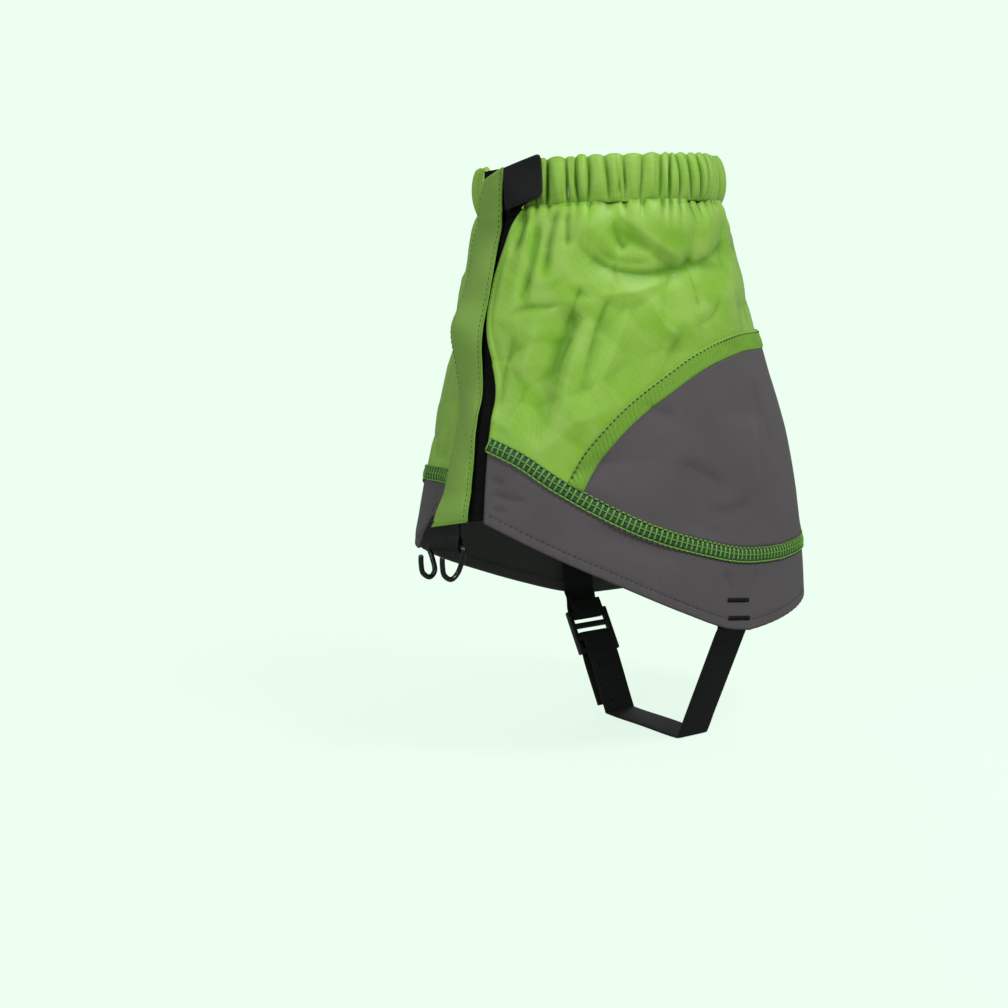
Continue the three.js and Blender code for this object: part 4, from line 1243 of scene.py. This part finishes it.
# How far the closed placket sways towards the wearer's left, by height.
PLACKET_SWAY = curve_through(
    (112 * MM, 2 * MM), (124 * MM, 3 * MM), (146 * MM, 3 * MM), (166 * MM, 1.4 * MM), (184 * MM, -0.6 * MM),
    (206 * MM, -1.4 * MM), (226 * MM, -0.8 * MM), (242 * MM, -2.4 * MM), (254 * MM, 0), (275 * MM, 4 * MM),
)


def placket_angle(z, across):
    """Angle at a height and a share of the placket's width; its top narrows from the sewn side."""
    corner = 9 * ramp(z, GATHER_Z - 6 * MM, PLACKET_TOP_Z)
    sway = PLACKET_SWAY(z) / metres_per_degree(10, z)
    return lerp(placket_left(z) + corner, closing_edge(z), across) + sway


def placket_offset(across, z):
    """Ripples of the placket on its strip, and its dip at the sewn edge."""
    ripple = 0.5 * MM * np.sin(z / (5.2 * MM) + across * 2) * (0.4 + 0.6 * across)
    slow = 0.7 * MM * np.sin(z / (11 * MM) + 1) * across**2
    dip = 0.9 * MM * hump(across, 0, 0.05)
    return placket_lift(z) + ripple + slow - dip + 0.9 * MM


def placket_place(across, z, extra=0.0):
    angle = placket_angle(z, across)
    return wrap_point(angle, z, drape(angle, z) + placket_offset(across, z) + extra)


def bend_at_placket(piece):
    """The placket peels off about its sewn edge. This works out an axis along that edge, which bake_transform
    does not use, and bakes the piece in place.
    """
    edge = placket_left(PLACKET_MIDDLE_Z)
    middle = wrap_point(edge, PLACKET_MIDDLE_Z, 1 * MM)
    toward = unit(wrap_point(edge + 4, PLACKET_MIDDLE_Z, 1 * MM) - middle)
    low, high = (wrap_point(placket_left(z), z) for z in (120 * MM, 250 * MM))
    lean = unit(high - low)
    toward = unit(toward - lean * np.dot(toward, lean))
    start, end = middle - toward * 0.6 * MM, middle + toward * 5 * MM
    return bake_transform(piece, "right_front", "placket", start=tuple(start), end=tuple(end))


def make_loop_strip():
    u, v = np.meshgrid(np.linspace(0, 1, 34), np.linspace(0, 1, 190))
    foot = PLACKET_FOOT_Z - 1 * MM
    z = lerp(foot + u * 3 * MM, GATHER_Z, v)
    left = LOOP_STRIP_LEFT + 6 * ramp(z, foot + 84 * MM, foot + 4 * MM)
    angle = lerp(left, shell_edge(z) + LOOP_STRIP_UNDERLAP, u)
    lift = drape(angle, z)
    random = np.random.default_rng(SEED + 3)
    fuzz = random.uniform(0, 0.28, angle.shape) * MM
    outer = wrap_point(angle, z, lift - 1.55 * MM + fuzz)
    strip = sheet_mesh("loop_strip_fabric", outer, wrap_point(angle, z, lift - 2.5 * MM))
    wrap_point(angle, z)
    dress(strip, "loop_tape", "loop_tape", "loop_strip")
    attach(strip, "wrap")

    low, high = GATHER_Z - 3 * MM, GATHER_Z + CUFF_HEIGHT - 2.5 * MM
    share, z = np.meshgrid(np.linspace(0, 1, 60), np.linspace(low, high, 40))
    end = lerp(shell_edge(GATHER_Z) - 1, TAB_START + TAB_LENGTH - 3, ramp(z, GATHER_Z, GATHER_Z + 5 * MM))
    angle = lerp(LOOP_STRIP_LEFT, end, share)
    fuzz = random.uniform(0, 0.22, angle.shape) * MM
    rise = lerp(-1.2 * MM, PATCH_OFFSET, ramp(z, GATHER_Z - 3 * MM, GATHER_Z + 4 * MM))
    outer = wrap_point(angle, z, rise + 0.6 * MM + fuzz)
    patch = sheet_mesh("cuff_loop_tape", outer, wrap_point(angle, z, rise))
    wrap_point(angle, z)
    dress(patch, "loop_tape", "loop_tape", "cuff_loop_patch")
    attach(patch, "wrap")


def make_placket():
    across, up = np.meshgrid(np.linspace(0, 1, 27), np.linspace(0, 1, 260))
    z = placket_z(across, up)
    rim = np.minimum(np.minimum(across, 1 - across) / 0.05, np.minimum(up, 1 - up) / 0.008)
    edge = np.sin(np.clip(rim, 0, 1) * math.pi / 2)
    groove = 0.2 * MM * hump(across, 0.93, 0.025)
    outer = placket_place(across, z, 0.5 * MM * edge - groove)
    inner = placket_place(across, z, -0.4 * MM * edge)
    flap = sheet_mesh("placket_cloth", outer, inner)
    flat = wrap_point(placket_angle(z, across), z)
    dress(flap, "placket_cloth", "placket_cloth", "placket_flap")
    bend_at_placket(flap)

    up = np.linspace(0, 1, 260)
    side = np.ones_like(up)
    z = placket_z(side, up)
    line = placket_place(side, z, 0.1 * MM)
    foot_share = np.linspace(0.04, 1, 26)
    foot = placket_place(foot_share, placket_z(foot_share, 0 * foot_share), 0.1 * MM)
    path = np.concatenate([foot[:-1], line])
    along = unit(np.gradient(path, axis=0))
    centre = np.array([0, LEG_AXIS_Y, 0])
    out = unit((path - centre) * np.array([1, 1, 0]))
    wide = unit(np.cross(along, out))
    half = np.full((1, len(path)), PIPING_RADIUS)
    tube = swept(path[None], wide[None], out[None], half, half * 1.05, 10)
    piping = dress(many_tubes("placket_piping_cord", tube), "green_tape", "green_tape", "placket_piping")
    bend_at_placket(piping)

    rows = []
    for share, low, high in ((0.935, 0.01, 0.99), (0.05, 0.0, 0.97)):
        count = int((high - low) * PLACKET_LENGTH / PLACKET_STITCH)
        up = np.linspace(low, high, count)
        z = placket_z(np.full(count, share), up)
        places = placket_place(np.full(count, share), z, 0.42 * MM if share > 0.5 else 0.5 * MM)
        out = unit((places - centre) * np.array([1, 1, 0]))
        begin, finish_at = lerp(places[:-1], places[1:], 0.22), lerp(places[:-1], places[1:], 0.78)
        rows.append(stitch_tubes(begin, finish_at, out[:-1], 0.15 * MM, 0.12 * MM))
    stitches = dress(many_tubes("placket_stitches", np.concatenate(rows)), "dark_thread", "seam_thread")
    bend_at_placket(stitches)

    u, v = np.meshgrid(np.linspace(0, 1, 18), np.linspace(0, 1, 120))
    z = lerp(PLACKET_FOOT_Z + 13 * MM, GATHER_Z - 10 * MM, v)
    degrees_per_metre = 1 / metres_per_degree(10, z)
    margin = HOOK_STRIP_MARGIN * degrees_per_metre
    low = placket_left(z) + margin
    high = np.minimum(closing_edge(z) - margin, shell_edge(z) - 1 * MM * degrees_per_metre)
    angle = lerp(low, high, u)
    lift = drape(angle, z)
    strip = sheet_mesh("hook_strip_tape", wrap_point(angle, z, lift), wrap_point(angle, z, lift - 0.9 * MM))
    wrap_point(angle, z)
    dress(strip, "hook_tape", "hook_tape", "hook_strip")
    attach(strip, "placket")


TAB_START = 14.5
TAB_LENGTH = 19.5
TAB_CORNER = 2.6 * MM
TAB_OFFSET = 3.9 * MM


def make_cuff_tab():
    angle_share, up = np.meshgrid(np.linspace(0, 1, 40), np.linspace(0, 1, 30))
    angle = TAB_START + TAB_LENGTH * angle_share
    low = GATHER_Z + 4.5 * MM * angle_share - 0.5 * MM
    height = CUFF_HEIGHT - 2 * MM
    to_end = (1 - angle_share) * TAB_LENGTH * MM
    trim = TAB_CORNER - np.sqrt(TAB_CORNER**2 - np.clip(TAB_CORNER - to_end, 0, TAB_CORNER) ** 2)
    z = low + trim + (height - 2 * trim) * up
    rim = np.minimum(np.minimum(angle_share, 1 - angle_share) * TAB_LENGTH, np.minimum(up, 1 - up) * 19)
    edge = np.sin(np.clip(rim / 0.8, 0, 1) * math.pi / 2)
    curl = 0.9 * MM * angle_share**3 + 0.35 * MM * np.sin(up * 4 + angle_share * 3)
    outer = wrap_point(angle, z, TAB_OFFSET + curl + 0.5 * MM * edge)
    inner = wrap_point(angle, z, TAB_OFFSET + curl - 0.35 * MM * edge)
    tab = sheet_mesh("cuff_tab_tape", outer, inner)
    wrap_point(angle, z, TAB_OFFSET)
    dress(tab, "tab_tape", "tab_tape", "cuff_tab")
    pivot = Vector(wrap_point(TAB_START, GATHER_Z + CUFF_HEIGHT / 2, TAB_OFFSET))
    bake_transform(tab)

    share, up = np.meshgrid(np.linspace(0.16, 0.95, 26), np.linspace(0.13, 0.89, 20))
    angle = TAB_START + TAB_LENGTH * share
    z = GATHER_Z + 4.5 * MM * share - 0.5 * MM + height * up
    outer = wrap_point(angle, z, TAB_OFFSET - 0.5 * MM)
    hooks = sheet_mesh("cuff_tab_hook_tape", outer, wrap_point(angle, z, TAB_OFFSET - 1.5 * MM))
    wrap_point(angle, z, TAB_OFFSET)
    dress(hooks, "hook_tape", "hook_tape", "cuff_tab_hooks")
    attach(hooks, "tab")


# ---- Lace hook ----
WIRE_RADIUS = 1.2 * MM
HOOK_WEBBING_WIDTH = 19 * MM
HOOK_DEPTH = 9.4 * MM
HOOK_DROP = 10.5 * MM
HOOK_BAR_DROP = 10.5 * MM  # from the placket's foot to the hook's bar
PRONG_X = 7 * MM
HOOK_TURN = 15.5


def hook_frame():
    """The hook's own axes at its bar: x along the bar, y inwards to the boot, z up."""
    middle = (placket_left(PLACKET_FOOT_Z) + closing_edge(PLACKET_FOOT_Z)) / 2
    foot = wrap_point(middle, PLACKET_FOOT_Z)
    place = Matrix.Translation((foot[0], foot[1] - 0.2 * MM, PLACKET_FOOT_Z - HOOK_BAR_DROP))
    return np.array(place @ Matrix.Rotation(math.radians(HOOK_TURN), 4, "Z"))


def placed(points, matrix):
    return points @ matrix[:3, :3].T + matrix[:3, 3]


def make_lace_hook():
    leg_x = HOOK_WEBBING_WIDTH / 2 + 0.3 * MM + WIRE_RADIUS + 0.3 * MM
    bend = HOOK_DEPTH / 2
    half = [
        (PRONG_X, -HOOK_DEPTH, -3 * MM),
        (PRONG_X, -HOOK_DEPTH - 0.2 * MM, -HOOK_DROP * 0.7),
        (PRONG_X, -HOOK_DEPTH + 0.6 * MM, -HOOK_DROP - 1 * MM),
        (PRONG_X, -bend, -HOOK_DROP - bend * 0.75),
        (PRONG_X + 0.6 * MM, -0.9 * MM, -HOOK_DROP - 1 * MM),
        (leg_x - 1.4 * MM, 0, -HOOK_DROP * 0.55),
        (leg_x, 0, -2.2 * MM),
        (leg_x - 0.9 * MM, 0, -0.3 * MM),
        (leg_x - 3 * MM, 0, 0),
    ]
    corners = [(-x, y, z) for x, y, z in half] + [(0, 0, 0)] + half[::-1]
    path = smooth_path(corners, 260)
    along = unit(np.gradient(path, axis=0))
    side = unit(np.cross(along, np.array([0.12, 0.2, 1.0])))
    side = np.where((np.abs(along[:, 2:]) > 0.94), unit(np.cross(along, np.array([1.0, 0.1, 0.1]))), side)
    for i in range(1, len(side)):
        side[i] = side[i - 1] - along[i] * np.dot(side[i - 1], along[i])
        side[i] /= np.linalg.norm(side[i])
    out = np.cross(along, side)
    run = np.linspace(0, 1, len(path))
    ends = np.sqrt(1 - np.clip(1 - np.minimum(run, 1 - run) * 260 / 3.2, 0, 1) ** 2 * 0.92)
    radius = (WIRE_RADIUS * ends)[None]
    tube = swept(path[None], side[None], out[None], radius, radius, 20)
    wire = many_tubes("lace_hook_rod", placed(tube, hook_frame()))
    dress(wire, "black_wire", "black_wire", "lace_hook")
    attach(wire, "lace_hook_wire")

    inner_radius = WIRE_RADIUS + 0.85 * MM
    turn = np.linspace(-math.pi, 0, 20)
    round_bar = [(math.cos(t) * inner_radius, math.sin(t) * inner_radius) for t in turn]
    front = [(-0.6 * MM, 11 * MM), (-0.62 * MM, 8 * MM), (-0.8 * MM, 5.5 * MM), (-1.7 * MM, 2.8 * MM)]
    back = [(1.7 * MM, 2.8 * MM), (0.8 * MM, 5.5 * MM), (0.62 * MM, 8 * MM), (0.6 * MM, 11 * MM)]
    profile = smooth_path(front + round_bar + back, 110)
    path = np.stack([np.zeros(len(profile)), profile[:, 0], profile[:, 1]], -1)
    matrix = hook_frame()
    path, across = placed(path, matrix), -matrix[:3, 0]
    webbing = ribbon("hook_webbing_loop", path, across, HOOK_WEBBING_WIDTH, 1.0 * MM, 24)
    dress(webbing, "webbing", "webbing", "hook_webbing")
    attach(webbing, "placket")


# ---- Instep strap ----
STRAP_WIDTH = 18 * MM
STRAP_THICKNESS = 1.6 * MM
WEBBING_THICKNESS = 1.3 * MM  # of the webbing itself, inside the strap's thickness
STRAP_PIVOT_Z = 57.5 * MM
SOLE_HALF_WIDTH = 31 * MM
STRAP_ANGLE = 102
BUCKLE_BAR = 3 * MM
BUCKLE_PITCH = 7 * MM
TOP_BAR = -10 * MM
BUCKLE_RAIL = 2.8 * MM
TAIL_LENGTH = 36 * MM
SEWN_OFFSET = -3.6 * MM
SEWN_END_TOP_Z = 80 * MM
BAR_TACK_HEIGHTS = (72.8 * MM, 64.4 * MM)


def strap_x():
    """Middle of the strap's thickness at its left side."""
    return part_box("instep_strap")[1].x - STRAP_THICKNESS / 2


def wrap_x(y, z, offset):
    half_width, half_depth = wrap_halves(z)
    return (half_width + offset) * math.sqrt(1 - ((y - LEG_AXIS_Y) / (half_depth + offset)) ** 2)


def right_run(x):
    """Places along the right run of the strap, which leans in: (inwards, up) from its anchor."""
    lean = math.atan2(x - SOLE_HALF_WIDTH, STRAP_PIVOT_Z)

    def place(inwards, up):
        across = -x + inwards * math.cos(lean) - up * math.sin(lean)
        return (across, 0.0, STRAP_PIVOT_Z + inwards * math.sin(lean) + up * math.cos(lean))

    return place, lean


def bend_at_hem(piece):
    """Strap webbing swings with the strap below the hem and stays with the wrap above it; here it is only
    baked in place.
    """
    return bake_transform(piece)


def sewn_run(side):
    """Middle line of a sewn end, from its top down to the hem."""
    heights = np.linspace(SEWN_END_TOP_Z, STRAP_PIVOT_Z + 2.5 * MM, 8)
    return [(side * wrap_x(0, z, SEWN_OFFSET), 0.0, z) for z in heights]


def rounded_bar(start, end, direction, wide, deep):
    """One bar of the buckle with softened edges, as a tube of twelve sides."""
    share = np.array([0, 0.004, 0.02, 0.5, 0.98, 0.996, 1])
    grow = np.array([0.6, 0.88, 1, 1, 1, 0.88, 0.6])
    path = lerp(np.array(start), np.array(end), share[:, None])
    along = unit(np.array(end) - np.array(start))
    side = np.broadcast_to(unit(np.array(direction, float)), path.shape)
    out = np.broadcast_to(np.cross(along, unit(np.array(direction, float))), path.shape)
    return swept(path[None], side[None], out[None], (wide / 2 * grow)[None], (deep / 2 * grow)[None], 16, 5.0)


def make_instep_strap():
    x = strap_x()
    place, lean = right_run(x)
    wrap_bar = TOP_BAR - 2 * BUCKLE_PITCH
    radius = BUCKLE_BAR / 2 + 0.5 * MM + STRAP_THICKNESS / 2
    half_turn = np.radians(np.linspace(0, 180, 13))
    left_top = (x, 0.0, STRAP_PIVOT_Z)
    near_sole = (SOLE_HALF_WIDTH + 1.5 * MM, 0.0, 3.5 * MM)
    sole_z = STRAP_THICKNESS / 2
    left_run = [tuple(lerp(np.array(left_top), np.array(near_sole), s)) for s in (0.25, 0.55, 0.85)]
    corners = [
        *sewn_run(1),
        left_top,
        *left_run,
        (SOLE_HALF_WIDTH + 1 * MM, 0.0, sole_z + 1.6 * MM),
        (SOLE_HALF_WIDTH - 1.6 * MM, 0.0, sole_z),
        (0.0, 0.0, sole_z),
        (-SOLE_HALF_WIDTH + 1.6 * MM, 0.0, sole_z),
        (-SOLE_HALF_WIDTH - 0.6 * MM, 0.0, sole_z + 1.6 * MM),
        place(radius, wrap_bar - 2 * BUCKLE_PITCH),
        place(radius, wrap_bar - BUCKLE_PITCH),
        *[place(radius * math.cos(a), wrap_bar + radius * math.sin(a)) for a in half_turn],
        place(-radius, wrap_bar - BUCKLE_PITCH),
        place(-radius - 0.8 * MM, wrap_bar - 2 * BUCKLE_PITCH),
        place(-radius - 1.6 * MM, wrap_bar - TAIL_LENGTH),
    ]
    strap = ribbon("instep_webbing", smooth_path(corners, 420), (0, 1, 0), STRAP_WIDTH, WEBBING_THICKNESS, 20)
    dress(strap, "webbing", "webbing", "instep_strap", "sewn_end_left")
    bend_at_hem(strap)

    corners = [
        *sewn_run(-1),
        place(0, 0),
        place(-1 * MM, -2.5 * MM),
        place(-radius, -6 * MM),
        *[place(-radius * math.cos(a), TOP_BAR - radius * math.sin(a)) for a in half_turn],
        place(radius, -6 * MM),
        place(radius * 0.9, -3.5 * MM),
    ]
    loop = ribbon("buckle_webbing", smooth_path(corners, 150), (0, 1, 0), STRAP_WIDTH, WEBBING_THICKNESS, 20)
    dress(loop, "webbing", "webbing", "buckle_loop", "sewn_end_right")
    bend_at_hem(loop)

    half_window = STRAP_WIDTH / 2 + 0.6 * MM
    bars = []
    for k in range(4):
        up = TOP_BAR - k * BUCKLE_PITCH
        ends = [(0, side * (half_window + BUCKLE_RAIL * 0.5), up) for side in (-1, 1)]
        bars.append(rounded_bar(*ends, (1, 0, 0), BUCKLE_BAR, BUCKLE_BAR * (0.94 if k % 2 else 1.0)))
    for side in (-1, 1):
        y = side * (half_window + BUCKLE_RAIL / 2)
        top, foot = TOP_BAR + BUCKLE_BAR / 2, TOP_BAR - 3 * BUCKLE_PITCH - BUCKLE_BAR / 2
        bars.append(rounded_bar((0, y, top), (0, y, foot), (1, 0, 0), BUCKLE_BAR, BUCKLE_RAIL))
    turn = Matrix.Translation((-x, 0, STRAP_PIVOT_Z)) @ Matrix.Rotation(-lean, 4, "Y")
    lock = many_tubes("ladder_lock_frame", placed(np.concatenate(bars), np.array(turn)))
    dress(lock, "black_plastic", "black_plastic", "ladder_lock")
    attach(lock, "strap")


def make_bar_tacks():
    """Dense zigzags that hold the strap's sewn ends through the skirt."""
    for name, side in (("left", 1), ("right", -1)):
        for number, height in enumerate(BAR_TACK_HEIGHTS, 1):
            count = 30
            share = np.linspace(-1, 1, count)
            z = height - share * MM + np.where(np.arange(count) % 2, 1, -1) * 1.05 * MM
            spread = 6.8 * MM / metres_per_degree(STRAP_ANGLE, STRAP_PIVOT_Z)
            angle = side * STRAP_ANGLE + share * spread + (0 if side > 0 else 360)
            places, _, _, out = surface_frame(angle, z, 0.35 * MM)
            tubes = stitch_tubes(places[:-1], places[1:], out[:-1], 0.34 * MM, 0.34 * MM)
            tack = many_tubes(f"tack_{name}_{number}", tubes)
            dress(tack, "tack_thread", "tack_thread", f"bar_tack_{name}_{number}")
            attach(tack, "wrap")


# ---- Stage ----
CAMERA_PLACE = (0.62327, -0.44147, 0.209)
CAMERA_TURN = 60  # degrees round the object from the front
CAMERA_DIP = 7
CAMERA_ROLL = 2.87
CAMERA_LENS = 55.0  # for a sensor 36 mm wide
FLOOR_RADIUS = 40
FLOOR_CORNERS = 96
SKY_LIGHT = 0.32  # how brightly the backdrop lights the gaiter, 1 as bright as it looks


def make_camera():
    turn, dip, roll = (math.radians(a) for a in (CAMERA_TURN, CAMERA_DIP, CAMERA_ROLL))
    right = Vector((math.cos(turn), math.sin(turn), 0))
    forward = Vector((-math.sin(turn) * math.cos(dip), math.cos(turn) * math.cos(dip), -math.sin(dip)))
    up = right.cross(forward)
    x_axis = right * math.cos(roll) - up * math.sin(roll)
    y_axis = right * math.sin(roll) + up * math.cos(roll)
    rotation = Matrix((x_axis, y_axis, -forward)).transposed().to_4x4()
    data = bpy.data.cameras.new("camera")
    data.lens = CAMERA_LENS
    data.sensor_width = 36.0
    camera = bpy.data.objects.new("camera", data)
    camera.matrix_world = Matrix.Translation(CAMERA_PLACE) @ rotation
    bpy.context.scene.collection.objects.link(camera)
    bpy.context.scene.camera = camera


def add_light(name, place, target, size, power):
    data = bpy.data.lights.new(name, "AREA")
    data.size = size
    data.energy = power
    light = bpy.data.objects.new(name, data)
    light.location = place
    light.rotation_euler = (Vector(target) - Vector(place)).to_track_quat("-Z", "Y").to_euler()
    bpy.context.scene.collection.objects.link(light)


def make_stage():
    colours = bpy.context.scene.gaiter_colours
    world = bpy.data.worlds.new("backdrop")
    bpy.context.scene.world = world
    world.use_nodes = True
    nodes, links = world.node_tree.nodes, world.node_tree.links
    nodes.clear()
    mix, path = nodes.new("ShaderNodeMixShader"), nodes.new("ShaderNodeLightPath")
    links.new(path.outputs["Is Camera Ray"], mix.inputs[0])
    for socket, strength in ((1, SKY_LIGHT), (2, 1.0)):
        background = nodes.new("ShaderNodeBackground")
        background.inputs["Color"].default_value = (*colours.backdrop, 1.0)
        background.inputs["Strength"].default_value = strength
        links.new(background.outputs[0], mix.inputs[socket])
    links.new(mix.outputs[0], nodes.new("ShaderNodeOutputWorld").inputs[0])
    bpy.context.scene.view_settings.view_transform = "Standard"
    x, y = section(FLOOR_CORNERS, 1)
    rim = np.stack([FLOOR_RADIUS * x, FLOOR_RADIUS * y, 0 * x], -1)
    floor = add_mesh("floor", rim, [list(range(FLOOR_CORNERS))])
    floor.data.materials.append(pale_ground("pale_ground", (*colours.backdrop, 1.0)))
    centre = (0, -0.02, 0.16)
    add_light("key", (1.0, 0.2, 1.25), centre, 0.4, 18)
    add_light("front", (0.5, -1.25, 0.8), centre, 0.5, 7)
    add_light("back", (-1.0, 0.6, 0.9), centre, 0.8, 8)
    make_camera()


# ---- Properties ----
def length_property(name, description, default, low, high):
    return bpy.props.FloatProperty(
        name=name, description=description, default=default, min=low, max=high, unit="LENGTH", precision=5
    )


def colour_property(name, description, colour, size=4):
    return bpy.props.FloatVectorProperty(
        name=name, description=description, default=colour[:size], size=size, min=0, max=1, subtype="COLOR"
    )


class GaiterSizes(bpy.types.PropertyGroup):
    """Sizes of the soft detail that a user may change."""

    fold_depth: bpy.props.FloatProperty(
        name="Fold depth", description="Depth of the cloth's folds, 1 as worn", default=1.0, min=0, max=1.5
    )
    gather_depth: length_property("Gather depth", "Deepest gather under the cuff", 2.4 * MM, 0, 3 * MM)
    pleat_depth: length_property("Pleat depth", "How far the cuff's puffs stand out", 3.2 * MM, 0, 5 * MM)
    pucker: length_property("Pucker", "Height of the ribs of the heel tape", 0.3 * MM, 0, 0.6 * MM)
    seam_width: length_property("Seam width", "Width of the flatlock seam", 7.2 * MM, 4 * MM, 10 * MM)
    seam_stitch: length_property("Seam stitch", "Pitch of the seam's rungs", 2.8 * MM, 1.2 * MM, 4 * MM)


class GaiterColours(bpy.types.PropertyGroup):
    """Colours of the cloth, thread and backdrop."""

    shell: colour_property("Shell", "Green nylon of the upper and the cuff", linear(122, 174, 42))
    placket: colour_property("Placket", "Duller green of the placket", linear(128, 168, 68))
    skirt: colour_property("Skirt", "Grey cloth of the skirt and the heel", linear(84, 77, 82))
    thread: colour_property("Thread", "Bright thread of the flatlock seam", linear(118, 172, 72))
    dark_thread: colour_property("Dark thread", "Stitches and the flatlock's ground", linear(38, 62, 44))
    black: colour_property("Black", "Tapes, webbing and fittings", linear(24, 23, 26))
    backdrop: colour_property("Backdrop", "Floor and surroundings", linear(237, 255, 241), 3)


# ---- Operators ----
class GAITER_OT_stage(bpy.types.Operator):
    """Add the pale floor, the soft lights and the camera"""

    bl_idname = "gaiter.stage"
    bl_label = "Stage"

    def execute(self, context):
        make_stage()
        return {"FINISHED"}


class GAITER_OT_upper(bpy.types.Operator):
    """Add the gathered green cloth of the upper"""

    bl_idname = "gaiter.upper"
    bl_label = "Upper"

    def execute(self, context):
        make_upper_cloth()
        return {"FINISHED"}


class GAITER_OT_skirt(bpy.types.Operator):
    """Add the grey skirt with its rolled hem"""

    bl_idname = "gaiter.skirt"
    bl_label = "Skirt"

    def execute(self, context):
        make_skirt_cloth()
        return {"FINISHED"}


class GAITER_OT_heel(bpy.types.Operator):
    """Add the heel panel and the tape that binds it"""

    bl_idname = "gaiter.heel"
    bl_label = "Heel"

    def execute(self, context):
        make_heel()
        return {"FINISHED"}


class GAITER_OT_seam(bpy.types.Operator):
    """Add the flatlock seam and the wrap's stitch rows"""

    bl_idname = "gaiter.seam"
    bl_label = "Seams"

    def execute(self, context):
        make_flatlock_seam()
        make_stitching()
        return {"FINISHED"}


class GAITER_OT_cuff(bpy.types.Operator):
    """Add the pleated cuff and the elastic inside it"""

    bl_idname = "gaiter.cuff"
    bl_label = "Cuff"

    def execute(self, context):
        make_cuff()
        return {"FINISHED"}


class GAITER_OT_closure(bpy.types.Operator):
    """Add the loop strip, the placket and the cuff tab"""

    bl_idname = "gaiter.closure"
    bl_label = "Front closure"

    def execute(self, context):
        make_loop_strip()
        make_placket()
        make_cuff_tab()
        return {"FINISHED"}


class GAITER_OT_lace_hook(bpy.types.Operator):
    """Add the wire lace hook and its webbing"""

    bl_idname = "gaiter.lace_hook"
    bl_label = "Lace hook"

    def execute(self, context):
        make_lace_hook()
        return {"FINISHED"}


class GAITER_OT_strap(bpy.types.Operator):
    """Add the instep strap, its buckle and the bar tacks"""

    bl_idname = "gaiter.strap"
    bl_label = "Instep strap"

    def execute(self, context):
        make_instep_strap()
        make_bar_tacks()
        return {"FINISHED"}


OPERATORS = (
    GAITER_OT_stage,
    GAITER_OT_upper,
    GAITER_OT_skirt,
    GAITER_OT_heel,
    GAITER_OT_seam,
    GAITER_OT_cuff,
    GAITER_OT_closure,
    GAITER_OT_lace_hook,
    GAITER_OT_strap,
)


class GAITER_PT_panel(bpy.types.Panel):
    """Lists the gaiter's sizes, colours and steps in the sidebar"""

    bl_idname = "GAITER_PT_panel"
    bl_label = "Gaiter"
    bl_space_type = "VIEW_3D"
    bl_region_type = "UI"
    bl_category = "Gaiter"

    def draw(self, context):
        for group in (context.scene.gaiter_sizes, context.scene.gaiter_colours):
            for name in group.__annotations__:
                self.layout.prop(group, name)
        for operator in OPERATORS:
            self.layout.operator(operator.bl_idname)


CLASSES = (GaiterSizes, GaiterColours, *OPERATORS, GAITER_PT_panel)


def register():
    for each in CLASSES:
        bpy.utils.register_class(each)
    bpy.types.Scene.gaiter_sizes = bpy.props.PointerProperty(type=GaiterSizes)
    bpy.types.Scene.gaiter_colours = bpy.props.PointerProperty(type=GaiterColours)


def unregister():
    del bpy.types.Scene.gaiter_colours
    del bpy.types.Scene.gaiter_sizes
    for each in reversed(CLASSES):
        bpy.utils.unregister_class(each)


def main():
    register()
    for operator in OPERATORS:
        group, name = operator.bl_idname.split(".")
        getattr(getattr(bpy.ops, group), name)()


if __name__ == "__main__":
    main()
